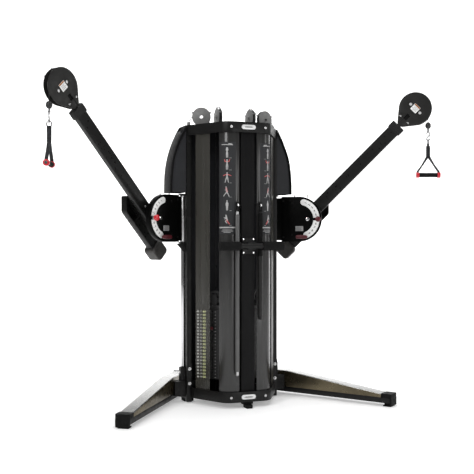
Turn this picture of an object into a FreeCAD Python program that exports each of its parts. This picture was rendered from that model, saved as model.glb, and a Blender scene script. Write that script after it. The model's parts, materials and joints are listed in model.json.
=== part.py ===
import FreeCAD, Part
import math
import os

# Dual-arm functional trainer. Millimetres, +Z up, +X to the right, front towards -Y.
# The origin is on the floor, under the middle of the front foot, in the plane of symmetry.
# Plan measures below are taken from the front face of the tower; ORIGIN_Y moves them to the origin.

V = FreeCAD.Vector
X_AXIS, Y_AXIS, Z_AXIS = V(1, 0, 0), V(0, 1, 0), V(0, 0, 1)
ORIGIN_Y = 13

# Tower
BAND_HEIGHT = 78
BASE_Z = 43
TOP_Z = 2052
FRONT_CORNER = (176, 0)
FACET_END = (335, 280)
CORNER_RADIUS = 95
REAR_Y = 500
WALL = 6
SHROUD_WALL = 4
SHROUD_INSET = 12
PILLAR_HALF = 54
PILLAR_Y = (15, 75)
UPRIGHT_X = (337, 375)
UPRIGHT_Y = (332, 384)
HOOK_X, HOOK_Z = 92, 1510
PLACARD_Z = (1293, 1978)
COWL_X = (378, 508)
COWL_Y = (341, 513)
COWL_Z = 1613

# Base
BEAM_Y = (373, 453)
BEAM_Z = (50, 163)
LEG_TIP = (990, -358)
LEG_REAR_LENGTH = 1225
LEG_ANGLE = 35
LEG_WIDTH = 100
RAIL_Z = (26, 66)
COVER_TOP_REAR = 195
COVER_TOP_TIP = 92

# Weight stack
PLATE_LENGTH = 260
PLATE_DEPTH = 96
PLATE_PITCH = 25
PLATES = 21
LIFTED = 6
STACK_Z = 190
ROD_SPREAD = 95
ROD_RADIUS = 10
STEM_RADIUS = 12

# Pulleys on the deck
SHEAVE_PITCH = 60
SHEAVE_WIDTH = 18
CABLE_RADIUS = 3
OUTER_PULLEY = (262.5, 323, 2196)
OUTER_TURN = 22.2
INNER_PULLEY = (134.3, 298.8, 2196)
INNER_TURN = 93
DECK_AXLE = 17
BUSH = (353, 360)

# Swing post and carriage. Carriage measures are (outward, back) from the post axis.
POST = (382, 413)
POST_RADIUS = 17
SWING = 31
PIVOT_Z = 1415
PIVOT_OUT = 207
PLATE_RADIUS = 180
PLATE_FRONT = -18
PLATE_THICK = 10
PLATE_EDGE = 66
SPINDLE_RADIUS = 25
PIN_RADIUS_AT = 155
PIN_RADIUS = 6
RUNNING = 0.05

# Arm. Arm measures are (along, back, across) from the pivot.
ARM_ANGLE = 45
ARM_BACK = 107
ARM_OFFSET = -27
ARM_HEIGHT = 100
ARM_DEPTH = 50
HEAD_ALONG = 1267
ARM_END = HEAD_ALONG - 184
TAIL_BACK = (182, 237)
TAIL_START = -205
TAIL_OUTLINE = ((TAIL_START, -125), (190, -125), (272, -43), (272, -32), (TAIL_START, -32))
TAIL_POCKET = ((70, -119), (187, -119), (262, -44), (262, -38), (70, -38))
WEIGHT_OFFSET = -82
WEIGHT_SIZE = 125
WEIGHT_BACK = (163, 273)

# Head and handle
HEAD_RADIUS = 130
HEAD_PITCH = 100
NECK_RADIUS = 18
GUARD_GAP = 20
GUARD_THICK = 5
BALL_DROP = 140
BALL_RADIUS = 21
HOOK_DROP = 164
GRIP_DROP = 528
GRIP_HALF = 75
HOOK_LENGTH, HOOK_WIRE = 74, 4.5
RING_WIRE, RING_PLAY = 4, 0.4
TWIST = {"left": -38, "right": 10}


def wheel_drop(pulley, turn, side):
    """Plan point where the cable leaves a deck pulley, on its inner (-1) or outer (1) side."""
    angle = math.radians(turn)
    reach = side * SHEAVE_PITCH
    return (pulley[0] + reach * math.cos(angle), pulley[1] + reach * math.sin(angle))


# Each stack hangs midway between two cable falls, and its plates lie along the line between them.
OUTER_FALL = wheel_drop(OUTER_PULLEY, OUTER_TURN, -1)
INNER_FALL = wheel_drop(INNER_PULLEY, INNER_TURN, -1)
ANCHOR_FALL = wheel_drop(INNER_PULLEY, INNER_TURN, 1)
STACK_CENTRE = ((OUTER_FALL[0] + INNER_FALL[0]) / 2, (OUTER_FALL[1] + INNER_FALL[1]) / 2)
STACK_ANGLE = math.degrees(math.atan2(OUTER_FALL[1] - INNER_FALL[1], OUTER_FALL[0] - INNER_FALL[0]))
YOKE_PITCH = math.dist(OUTER_FALL, INNER_FALL) / 2

os.makedirs("parts", exist_ok=True)
nodes = {}


# ---------- plain shapes ----------

def box(x, y, z):
    return Part.makeBox(x[1] - x[0], y[1] - y[0], z[1] - z[0], V(x[0], y[0], z[0]))


def rod(start, end, radius):
    start, end = V(*start), V(*end)
    return Part.makeCylinder(radius, (end - start).Length, start, end - start)


def tube(start, end, radius, bore):
    return rod(start, end, radius).cut(rod(start, end, bore))


def ball(centre, radius):
    return Part.makeSphere(radius, V(*centre))


def fuse(*shapes):
    return shapes[0].multiFuse(list(shapes[1:])).removeSplitter()


def rounded_block(x, y, z, radius, axis):
    """A box whose four edges along one axis are rounded."""
    block = box(x, y, z)
    edges = [e for e in block.Edges if abs(e.tangentAt(e.FirstParameter).dot(axis)) > 0.99]
    return block.makeFillet(radius, edges)


def outline(points, radii):
    """A closed plan outline of straight runs with rounded corners."""
    edges = []
    count = len(points)
    starts, ends = [], []
    for i, point in enumerate(points):
        here = V(*point, 0)
        before = V(*points[i - 1], 0) - here
        after = V(*points[(i + 1) % count], 0) - here
        half = before.getAngle(after) / 2
        before.normalize()
        after.normalize()
        reach = radii[i] / math.tan(half)
        first, last = here + before * reach, here + after * reach
        if radii[i]:
            inward = before + after
            inward.normalize()
            middle = here + inward * (radii[i] / math.sin(half) - radii[i])
            edges.append(Part.Arc(first, middle, last).toShape())
        starts.append(first)
        ends.append(last)
    for i in range(count):
        a, b = ends[i], starts[(i + 1) % count]
        if (b - a).Length > 0.001:
            edges.append(Part.makeLine(a, b))
    return Part.Wire(Part.__sortEdges__(edges))


def prism(points, radii, z):
    face = Part.Face(outline(points, radii))
    face.translate(V(0, 0, z[0]))
    return face.extrude(V(0, 0, z[1] - z[0]))


def upright_prism(points, radii, y):
    """An outline drawn in X and Z, and pushed along Y."""
    shape = prism(points, radii, (0, y[1] - y[0]))
    shape.rotate(V(0, 0, 0), X_AXIS, 90)
    shape.translate(V(0, y[1], 0))
    return shape


def link(height, width, wire):
    """A closed link of round wire in the XZ plane, its top at z = 0."""
    half = width / 2 - wire
    top, bottom = -wire - half, -height + wire + half
    ends = []
    for z, span in ((top, (0, width)), (bottom, (-width, 0))):
        keeper = box((-width, width), (-width, width), span)
        end = Part.makeTorus(half, wire, V(0, 0, 0), Y_AXIS).common(keeper)
        end.translate(V(0, 0, z))
        ends.append(end)
    sides = [rod((x, 0, bottom), (x, 0, top), wire) for x in (-half, half)]
    return fuse(*ends, *sides)


def both_sides(shape):
    return [shape, shape.mirror(V(0, 0, 0), X_AXIS)]


def keep(name, *shapes):
    """Files the solids of one node."""
    solids = [s for shape in shapes for s in shape.Solids]
    nodes[name] = solids


def keep_side(name, side, *shapes):
    if side == "left":
        shapes = [s.mirror(V(0, 0, 0), X_AXIS) for s in shapes]
    keep(f"{name}_{side}", *shapes)


def turned(shape, centre, angle):
    """The shape, drawn about the origin, turned about Z and set at a plan point."""
    shape = shape.copy()
    shape.rotate(V(0, 0, 0), Z_AXIS, angle)
    shape.translate(V(centre[0], centre[1], 0))
    return shape


# ---------- tower ----------

def tower_outline(inset, side_x, rear_y=REAR_Y):
    """The plan of the bands: a flat front, round corners, slanted side facets and a square rear."""
    slope = math.atan2(FACET_END[1] - FRONT_CORNER[1], FACET_END[0] - FRONT_CORNER[0])
    shift = inset * math.tan(slope / 2)
    corner = (FRONT_CORNER[0] - shift, inset)
    along = (FACET_END[1] - inset) / math.tan(slope)
    knee = (corner[0] + along, FACET_END[1])
    half = [corner, knee, (side_x - inset, FACET_END[1] + 62), (side_x - inset, rear_y - inset)]
    radii = [CORNER_RADIUS - inset, 30, 12, 20]
    points = half + [(-x, y) for x, y in reversed(half)]
    return points, radii + radii[::-1]


def band(z, side_x, deck):
    ring = prism(*tower_outline(0, side_x), z).cut(prism(*tower_outline(WALL, side_x), z))
    plate = prism(*tower_outline(WALL, side_x), deck)
    return fuse(ring, plate)


def shroud_strip(inset, thick, z):
    outer = prism(*tower_outline(inset, 376), z)
    return outer.cut(prism(*tower_outline(inset + thick, 376), z))


def facet_cutter(start, end, z):
    """A block that spans the right side facet between two distances from the front corner."""
    angle = math.degrees(math.atan2(FACET_END[1] - FRONT_CORNER[1], FACET_END[0] - FRONT_CORNER[0]))
    return turned(box((start, end), (-40, 60), z), FRONT_CORNER, angle)


def build_bands():
    top = band((TOP_Z, TOP_Z + BAND_HEIGHT), 376, (TOP_Z + BAND_HEIGHT - WALL, TOP_Z + BAND_HEIGHT))
    base = band((BASE_Z, BASE_Z + BAND_HEIGHT), 341, (BASE_Z, BASE_Z + WALL))
    for side in (1, -1):
        for x, y in (OUTER_FALL, INNER_FALL, ANCHOR_FALL, BUSH):
            top = top.cut(rod((side * x, y, TOP_Z), (side * x, y, TOP_Z + 200), 14))
    base = base.cut(box((-400, 400), BEAM_Y, BEAM_Z))
    for upright in both_sides(box(UPRIGHT_X, UPRIGHT_Y, (0, 400))):
        base = base.cut(upright)
    keep("top_band", top)
    keep("base_band", base)


def build_pillar():
    low, high = BASE_Z + WALL, TOP_Z + BAND_HEIGHT - WALL
    outer = rounded_block((-PILLAR_HALF, PILLAR_HALF), PILLAR_Y, (low, high), 6, Z_AXIS)
    inner = box((-PILLAR_HALF + 4, PILLAR_HALF - 4), (PILLAR_Y[0] + 4, PILLAR_Y[1] - 4), (low, high))
    foot = box((-82, 82), (PILLAR_Y[0] + 20, PILLAR_Y[1]), (low, low + 120))
    pillar = fuse(outer.cut(inner), foot.cut(inner))
    hooks = []
    for side in (1, -1):
        x = side * HOOK_X
        arm = box(sorted((side * PILLAR_HALF, x + side * 6)), (22, 32), (HOOK_Z - 10, HOOK_Z + 10))
        peg = rod((x, 22, HOOK_Z), (x, -22, HOOK_Z), 5)
        lip = rod((x, -22, HOOK_Z), (x, -26, HOOK_Z), 9)
        hooks.append(fuse(arm, peg, lip))
    keep("centre_pillar", fuse(pillar, *hooks))


def build_uprights():
    wall = 4
    inner_x = (UPRIGHT_X[0] + wall, UPRIGHT_X[1] - wall)
    inner_y = (UPRIGHT_Y[0] + wall, UPRIGHT_Y[1] - wall)
    column = box(UPRIGHT_X, UPRIGHT_Y, (8, TOP_Z)).cut(box(inner_x, inner_y, (20, 2040)))
    bracket = box((UPRIGHT_X[0] - 1, UPRIGHT_X[1] + 1), (UPRIGHT_Y[0] - 6, UPRIGHT_Y[0]), (BASE_Z + 84, 300))
    lugs = []
    for low, high in ((1596, 1606), (1222, 1234)):
        lug = box((UPRIGHT_X[1] - 20, POST[0] + 30), (UPRIGHT_Y[1], POST[1] + 26), (low, high))
        lugs.append(lug)
    gusset = upright_prism([(360, 1222), (POST[0] + 62, 1222), (POST[0] - 2, 1150), (360, 1150)],
                           [0, 4, 0, 0], (UPRIGHT_Y[1], UPRIGHT_Y[1] + 8))
    shape = fuse(column, bracket, *lugs, gusset)
    shape = shape.cut(rod((POST[0], POST[1], 1100), (POST[0], POST[1], 1700), POST_RADIUS))
    shape = shape.cut(box((0, 460), BEAM_Y, BEAM_Z))
    keep("uprights", *both_sides(shape))


def corner_part(strip, inner_x, facet_reach, z):
    """The part of a strip round the right front corner, with a hole for the hook's peg."""
    front = strip.common(box((inner_x, 260), (0, 60), z)).fuse(strip.common(facet_cutter(0, facet_reach, z)))
    front = front.common(box((inner_x, 400), (0, 400), z)).removeSplitter()
    return front.cut(rod((HOOK_X, -20, HOOK_Z), (HOOK_X, 40, HOOK_Z), 7))


def build_shrouds():
    z = (BASE_Z + WALL + 2, TOP_Z + BAND_HEIGHT - WALL - 2)
    strip = shroud_strip(SHROUD_INSET, SHROUD_WALL, z)
    keep("front_shrouds", *both_sides(corner_part(strip, 70, 82, z)))
    keep("side_shrouds", *both_sides(strip.common(facet_cutter(175, 318, z))))
    film = shroud_strip(SHROUD_INSET - 1.5, 1.5, PLACARD_Z)
    badges = []
    for centre in (BASE_Z + BAND_HEIGHT / 2, TOP_Z + BAND_HEIGHT / 2):
        badge = upright_prism([(-56, centre - 17), (56, centre - 17), (56, centre + 17), (-56, centre + 17)],
                              [16.9] * 4, (-5, 0))
        badges.append(badge)
    keep("label_plates", *both_sides(corner_part(film, 98, 78, PLACARD_Z)), *badges)


def build_rear_covers():
    low, high = BASE_Z + BAND_HEIGHT + 2, TOP_Z + BAND_HEIGHT - WALL - 2
    back = box((-331, 331), (REAR_Y - 12, REAR_Y - 8), (low, high))
    cheeks = [box(x, (400, REAR_Y - 12), (low, high)) for x in ((-331, -327), (327, 331))]
    panel = fuse(back, *cheeks).cut(box((-400, 400), BEAM_Y, BEAM_Z))
    keep("rear_covers", panel, *both_sides(cowl(0, COWL_Y).cut(cowl(3, (COWL_Y[0] + 3, COWL_Y[1] - 3)))))


def cowl(inset, y):
    """The swept side cowl: straight inside, arched outside, open below."""
    inner, outer = COWL_X[0] + inset, COWL_X[1] - inset
    high = TOP_Z + BAND_HEIGHT - inset
    corners = [V(inner, 0, COWL_Z), V(outer, 0, COWL_Z), V(outer - 2, 0, COWL_Z + 110),
               V(inner + 6, 0, high), V(inner, 0, high)]
    bulge = V(outer - 40, 0, COWL_Z + 330)
    edges = [Part.makeLine(corners[0], corners[1]), Part.makeLine(corners[1], corners[2]),
             Part.Arc(corners[2], bulge, corners[3]).toShape(),
             Part.makeLine(corners[3], corners[4]), Part.makeLine(corners[4], corners[0])]
    face = Part.Face(Part.Wire(edges))
    face.translate(V(0, y[0], 0))
    return face.extrude(V(0, y[1] - y[0], 0))


# ---------- base ----------

def leg_frame(shape):
    """Sets a leg, drawn along +X from its rear end with its inner edge on Y = 0, in its place."""
    shape = shape.copy()
    shape.translate(V(-LEG_REAR_LENGTH, 0, 0))
    shape.rotate(V(0, 0, 0), Z_AXIS, -(90 - LEG_ANGLE))
    shape.translate(V(LEG_TIP[0], LEG_TIP[1], 0))
    return shape


def build_legs():
    length = LEG_REAR_LENGTH
    rail = box((0, length), (0, LEG_WIDTH), RAIL_Z)
    rail = rail.cut(box((4, length - 4), (4, LEG_WIDTH - 4), (RAIL_Z[0] + 4, RAIL_Z[1] - 4)))
    side = Part.makePolygon([V(8, 0, RAIL_Z[1]), V(length - 70, 0, RAIL_Z[1]),
                             V(length - 70, 0, COVER_TOP_TIP + 4), V(330, 0, COVER_TOP_REAR),
                             V(8, 0, COVER_TOP_REAR), V(8, 0, RAIL_Z[1])])
    cover = Part.Face(side).extrude(V(0, LEG_WIDTH, 0))
    top_edges = [e for e in cover.Edges
                 if abs(e.tangentAt(e.FirstParameter).dot(Y_AXIS)) < 0.1
                 and e.BoundBox.ZMin > RAIL_Z[1] + 20 and e.BoundBox.XLength > 50]
    cover = cover.makeFillet(9, top_edges)
    inner = Part.Face(Part.makePolygon([
        V(11, 0, RAIL_Z[1]), V(length - 73, 0, RAIL_Z[1]), V(length - 73, 0, COVER_TOP_TIP + 1),
        V(330, 0, COVER_TOP_REAR - 3), V(11, 0, COVER_TOP_REAR - 3), V(11, 0, RAIL_Z[1])]))
    inner = inner.extrude(V(0, LEG_WIDTH - 6, 0))
    inner.translate(V(0, 3, 0))
    cap_z = (RAIL_Z[1], COVER_TOP_TIP + 5)
    cap = rounded_block((length - 70, length + 14), (-3, LEG_WIDTH + 3), cap_z, 10, Z_AXIS)
    shoe = rounded_block((length, length + 14), (-3, LEG_WIDTH + 3), (8, RAIL_Z[1]), 6, Z_AXIS)
    cap = fuse(cap, shoe)
    heel = box((-8, 0), (-3, LEG_WIDTH + 3), (8, COVER_TOP_REAR + 2))
    front_pad = rounded_block((length - 60, length + 6), (10, LEG_WIDTH - 10), (0, 8), 8, Z_AXIS)
    pad_stem = box((length - 50, length - 4), (20, LEG_WIDTH - 20), (8, RAIL_Z[0]))
    front_pad = front_pad.fuse(pad_stem).removeSplitter()
    rear_pad = rounded_block((4, 70), (10, LEG_WIDTH - 10), (0, RAIL_Z[0]), 8, Z_AXIS)
    keep("leg_rails", *both_sides(leg_frame(rail)))
    keep("leg_covers", *both_sides(leg_frame(cover.cut(inner))))
    bumpers = []
    for shift in (-ROD_SPREAD, ROD_SPREAD):
        pad = tube((shift, 0, BASE_Z + WALL), (shift, 0, STACK_Z), 30, ROD_RADIUS + 0.5)
        bumpers.append(turned(pad, STACK_CENTRE, STACK_ANGLE))
    tongue = rounded_block((-26, 26), (-34, 60), (0, 26), 20, Z_AXIS)
    block = box((-40, 40), (10, 60), (26, BASE_Z))
    rear_feet = box((300, 375), (400, 480), (0, 26)).fuse(box((310, 334), (455, 475), (26, BASE_Z)))
    pads = [leg_frame(s) for s in (cap, heel, front_pad, rear_pad)] + bumpers + [rear_feet.removeSplitter()]
    keep("feet_and_bumpers", *[s for pad in pads for s in both_sides(pad)], fuse(tongue, block))


def build_crossbeam():
    beam = box((-460, 460), BEAM_Y, BEAM_Z)
    beam = beam.cut(box((-470, 470), (BEAM_Y[0] + 4, BEAM_Y[1] - 4), (BEAM_Z[0] + 4, BEAM_Z[1] - 4)))
    blocker = leg_frame(box((-50, LEG_REAR_LENGTH + 50), (0, LEG_WIDTH + 200), (0, 250)))
    for side in both_sides(blocker):
        beam = beam.cut(side)
    foot_block = box((300, 375), (BEAM_Y[0] + 12, BEAM_Y[1] - 12), (26, BEAM_Z[0]))
    foot_block = foot_block.cut(box((0, 341), (0, 600), (BASE_Z, 200)))
    keep("crossbeam", beam, *both_sides(foot_block))


def build_posts():
    post = tube((POST[0], POST[1], BEAM_Z[1]), (POST[0], POST[1], 1606), POST_RADIUS, POST_RADIUS - 4)
    collar_x, collar_y = (POST[0] - 27, POST[0] + 27), (POST[1] - 27, POST[1] + 27)
    collar = rounded_block(collar_x, collar_y, (BEAM_Z[1], 268), 8, Z_AXIS)
    collar = collar.cut(rod((POST[0], POST[1], 100), (POST[0], POST[1], 300), POST_RADIUS + 0.1))
    collar = collar.cut(box(UPRIGHT_X, UPRIGHT_Y, (0, 400)))
    keep("swing_posts", *both_sides(post), *both_sides(collar))


def build_bolts():
    heads = []
    for x in (-137, 137):
        for z in (BASE_Z + BAND_HEIGHT / 2, TOP_Z + BAND_HEIGHT / 2):
            heads.append(rod((x, 0, z), (x, -5, z), 8))
    for z in (150, 262):
        bolt = rod((356, UPRIGHT_Y[0] - 6, z), (356, UPRIGHT_Y[0] - 14, z), 9)
        heads += both_sides(bolt)
    heads += both_sides(rod((POST[0] + 27, POST[1], 225), (POST[0] + 34, POST[1], 225), 9))
    keep("frame_bolts", *heads)


def build_grab_bar():
    bar_z, bar_y = 1206, -60
    bar = rod((-245, bar_y, bar_z), (245, bar_y, bar_z), 19)
    plate = box((-48, 48), (3, 15), (bar_z - 60, bar_z + 60))
    arm = rounded_block((-34, 34), (bar_y, 3), (bar_z - 30, bar_z + 30), 10, Y_AXIS)
    keep("grab_bar", fuse(bar, plate, arm))
    grips = []
    for side in (1, -1):
        grip = tube((side * 88, bar_y, bar_z), (side * 250, bar_y, bar_z), 28, 19.1)
        cap = rod((side * 250, bar_y, bar_z), (side * 254, bar_y, bar_z), 28)
        grips.append(grip.fuse(cap).removeSplitter())
    keep("grab_grips", *grips)


def build_hanging_bars():
    """Two attachment bars that hang from slotted tongues on the pillar's hooks."""
    x, y = HOOK_X, -6
    slot_z, tongue_top = (1474, 1515.3), 1530
    for name, side, low, grip_low in (("long_bar", -1, 255, None), ("short_bar", 1, 665, 1130)):
        high = 1462
        bar = rod((side * x, y, low), (side * x, y, high), 12)
        tip = ball((side * x, y, low), 12)
        tongue = box((side * x - 13, side * x + 13), (y - 4, y + 4), (high - 6, tongue_top))
        slot = box((side * x - 6, side * x + 6), (y - 10, y + 10), slot_z)
        shape = fuse(bar, tip, tongue.cut(slot))
        if grip_low:
            shape = fuse(shape, rod((side * x, y, grip_low), (side * x, y, high - 12), 15))
        keep(name, shape)


# ---------- weight stacks ----------

def weight_plate(low):
    """One plate of the stack, drawn about the origin, with its selector hole to the front."""
    high = low + PLATE_PITCH
    half, depth = PLATE_LENGTH / 2, PLATE_DEPTH / 2
    plate = rounded_block((-half, half), (-depth, depth), (low, high), 10, Z_AXIS)
    rims = [e for e in plate.Edges if e.BoundBox.ZLength < 0.01]
    plate = plate.makeChamfer(1.5, rims)
    for x in (-ROD_SPREAD, ROD_SPREAD):
        plate = plate.cut(rod((x, 0, low), (x, 0, high), ROD_RADIUS + 1))
    plate = plate.cut(rod((0, 0, low), (0, 0, high), STEM_RADIUS + 1))
    middle = (low + high) / 2
    return plate.cut(rod((0, -depth - 1, middle), (0, 20, middle), 6))


def set_stack(shape):
    return turned(shape, STACK_CENTRE, STACK_ANGLE)


def build_stack(side):
    resting = PLATES - LIFTED
    split = STACK_Z + resting * PLATE_PITCH
    top = STACK_Z + PLATES * PLATE_PITCH
    lifted = [set_stack(weight_plate(split + i * PLATE_PITCH)) for i in range(LIFTED)]
    keep_side("lifted_plates", side, *lifted)
    head = rounded_block((-112, 112), (-40, 40), (top, top + 34), 10, Z_AXIS)
    for x in (-ROD_SPREAD, ROD_SPREAD):
        head = head.cut(rod((x, 0, top), (x, 0, top + 34), ROD_RADIUS + 0.5))
    stem_low = STACK_Z + 20
    stem = rod((0, 0, stem_low), (0, 0, top), STEM_RADIUS)
    for i in range(PLATES):
        z = STACK_Z + (i + 0.5) * PLATE_PITCH
        if z > stem_low:
            stem = stem.cut(rod((0, -30, z), (0, 30, z), 6))
    centre = yoke_centre()
    cheeks = []
    for y in ((-16, -11), (11, 16)):
        cheek = box((-22, 22), y, (top + 34, centre + 22))
        cheeks.append(cheek)
    axle = rod((0, -16, centre), (0, 16, centre), 8)
    keep_side("stack_yoke", side, set_stack(fuse(head, stem, *cheeks, axle)))
    wheel = sheave(YOKE_PITCH, SHEAVE_WIDTH, 8 + RUNNING)
    wheel.translate(V(0, 0, centre))
    keep_side("stack_pulley", side, set_stack(wheel))
    pin_z = split + PLATE_PITCH / 2
    face = -PLATE_DEPTH / 2
    pin = rod((0, face - 2, pin_z), (0, 6, pin_z), 5)
    knob = rod((0, face - 18, pin_z), (0, face - 2, pin_z), 13)
    knob = knob.makeFillet(4, knob.Edges[:1])
    keep_side("selector_pin", side, set_stack(fuse(pin, knob)))


def yoke_centre():
    return STACK_Z + PLATES * PLATE_PITCH + 34 + 62


def build_resting_plates():
    plates = []
    for i in range(PLATES - LIFTED):
        plates += both_sides(set_stack(weight_plate(STACK_Z + i * PLATE_PITCH)))
    keep("resting_plates", *plates)


def build_guide_rods():
    rods = []
    for x in (-ROD_SPREAD, ROD_SPREAD):
        guide = rod((x, 0, BASE_Z + WALL), (x, 0, TOP_Z + BAND_HEIGHT - WALL), ROD_RADIUS)
        rods += both_sides(set_stack(guide))
    keep("guide_rods", *rods)


# ---------- deck pulleys and cables ----------

def sheave(pitch, width, bore):
    """A grooved wheel in the XZ plane about the Y axis."""
    rim = pitch + 6
    half = width / 2
    profile = [V(bore, half, 0), V(bore, -half, 0), V(rim, -half, 0), V(pitch - CABLE_RADIUS - 0.5, -2.2, 0),
               V(pitch - CABLE_RADIUS - 0.5, 2.2, 0), V(rim, half, 0), V(bore, half, 0)]
    wheel = Part.Face(Part.makePolygon(profile)).revolve(V(0, 0, 0), Y_AXIS, 360)
    for i in range(6):
        angle = math.radians(60 * i)
        middle = (bore + pitch) / 2
        hole = rod((middle * math.cos(angle), -half, middle * math.sin(angle)),
                   (middle * math.cos(angle), half, middle * math.sin(angle)), (pitch - bore) * 0.22)
        wheel = wheel.cut(hole)
    return wheel


def pulley_yoke(deck, ears):
    """Two disc cheeks with cable-keeper ears on a foot and a hollow axle, about the wheel centre."""
    radius, low = SHEAVE_PITCH + 12, deck
    cheeks = []
    for y in (-SHEAVE_WIDTH / 2 - 5, SHEAVE_WIDTH / 2 + 2):
        cheek = rod((0, y, 0), (0, y + 3, 0), radius).fuse(box((-40, 40), (y, y + 3), (low, 0)))
        for angle in ears:
            ear = rounded_block((radius - 6, radius + 10), (y, y + 3), (-6, 6), 4, Y_AXIS)
            ear.rotate(V(0, 0, 0), Y_AXIS, -angle)
            cheek = cheek.fuse(ear)
        cheeks.append(cheek.common(box((-200, 200), (-50, 50), (low, 200))))
    keepers = []
    for angle in ears:
        a = math.radians(angle)
        x, z = (radius + 3) * math.cos(a), (radius + 3) * math.sin(a)
        keepers.append(rod((x, -14, z), (x, 14, z), 3))
    axle = rod((0, -18, 0), (0, 18, 0), DECK_AXLE)
    foot = box((-44, 44), (-24, -SHEAVE_WIDTH / 2 - 2), (low, low + 5))
    return fuse(*cheeks, *keepers, axle, foot).cut(rod((0, -30, 0), (0, 30, 0), DECK_AXLE - 4))


def deck_place(shape, centre, angle):
    shape = shape.copy()
    shape.rotate(V(0, 0, 0), Z_AXIS, angle)
    shape.translate(V(*centre))
    return shape


def deck_pulleys():
    """Name, centre, turn and the angles of the cable keepers of each deck pulley."""
    return (("outer_pulley", OUTER_PULLEY, OUTER_TURN, (25, 155)),
            ("inner_pulley", INNER_PULLEY, INNER_TURN, (25, 90, 155)))


def build_deck():
    deck = TOP_Z + BAND_HEIGHT
    brackets = []
    for name, centre, angle, ears in deck_pulleys():
        yoke = deck_place(pulley_yoke(deck - centre[2], ears), centre, angle)
        for x, y in (OUTER_FALL, INNER_FALL, ANCHOR_FALL):
            yoke = yoke.cut(rod((x, y, deck - 10), (x, y, deck + 8), 6))
        brackets += both_sides(yoke)
    bush = tube((*BUSH, deck - 40), (*BUSH, deck + 26), 13, CABLE_RADIUS + 1.5)
    bush = bush.cut(box((300, 400), (300, 400), (TOP_Z + 10, TOP_Z + 12)))
    brackets += [s for piece in bush.Solids for s in both_sides(piece)]
    keep("top_brackets", *brackets)
    for side in ("left", "right"):
        for name, centre, angle, ears in deck_pulleys():
            wheel = sheave(SHEAVE_PITCH, SHEAVE_WIDTH, DECK_AXLE + RUNNING)
            keep_side(name, side, deck_place(wheel, centre, angle))


def swept_cable(edges, start, direction):
    path = Part.Wire(edges)
    circle = Part.Wire(Part.makeCircle(CABLE_RADIUS, start, direction))
    return path.makePipeShell([circle], True, True)


def build_top_cables():
    """Cable over each deck pulley. Above the deck the outer one slants out to its guide bush."""
    r = SHEAVE_PITCH
    deck = TOP_Z + BAND_HEIGHT
    cables = []
    reach = math.dist(BUSH, OUTER_PULLEY[:2])
    target = V(reach, 0, deck + 28 - OUTER_PULLEY[2])
    far = target.Length
    leave = math.atan2(target.z, target.x) + math.acos(r / far)
    touch = V(r * math.cos(leave), 0, r * math.sin(leave))
    halfway = (math.pi + leave) / 2
    bend = Part.Arc(V(-r, 0, 0), V(r * math.cos(halfway), 0, r * math.sin(halfway)), touch)
    edges = [Part.makeLine(V(-r, 0, -66), V(-r, 0, 0)), bend.toShape(), Part.makeLine(touch, target)]
    outer = swept_cable(edges, V(-r, 0, -66), Z_AXIS)
    cables += both_sides(deck_place(outer, OUTER_PULLEY, OUTER_TURN))
    anchor_drop = INNER_PULLEY[2] - BASE_Z - WALL - 90
    bend = Part.Arc(V(-r, 0, 0), V(0, 0, r), V(r, 0, 0))
    edges = [Part.makeLine(V(-r, 0, -66), V(-r, 0, 0)), bend.toShape(),
             Part.makeLine(V(r, 0, 0), V(r, 0, -anchor_drop))]
    inner = swept_cable(edges, V(-r, 0, -66), Z_AXIS)
    cables += both_sides(deck_place(inner, INNER_PULLEY, INNER_TURN))
    x, y = ANCHOR_FALL
    low = BASE_Z + WALL
    anchor = fuse(rod((x, y, low), (x, y, low + 90), 6), rod((x, y, low), (x, y, low + 8), 13))
    cables += both_sides(anchor)
    keep("top_cables", *cables)


def build_lift_cable(side):
    """The two falls between the deck pulleys and the wheel on the stack."""
    low, high = yoke_centre(), OUTER_PULLEY[2] - 66
    falls = [rod((x, 0, low), (x, 0, high), CABLE_RADIUS) for x in (-YOKE_PITCH, YOKE_PITCH)]
    keep_side("lift_cable", side, *[set_stack(fall) for fall in falls])


# ---------- swing carriage ----------

def place_carriage(shape):
    """Sets a shape drawn about the post axis, +X outward and +Y back, in its place on the right."""
    return turned(shape, POST, -SWING)


def d_shape(radius, edge, y):
    """A plate with a straight inner edge and a half-round outer edge, in the XZ plane."""
    c = PIVOT_OUT
    top, bottom = V(c, 0, radius), V(c, 0, -radius)
    wire = Part.Wire([Part.makeLine(V(edge, 0, -radius), bottom),
                      Part.Arc(bottom, V(c + radius, 0, 0), top).toShape(),
                      Part.makeLine(top, V(edge, 0, radius)),
                      Part.makeLine(V(edge, 0, radius), V(edge, 0, -radius))])
    face = Part.Face(wire)
    face.translate(V(0, y[0], PIVOT_Z))
    return face.extrude(V(0, y[1] - y[0], 0))


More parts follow.
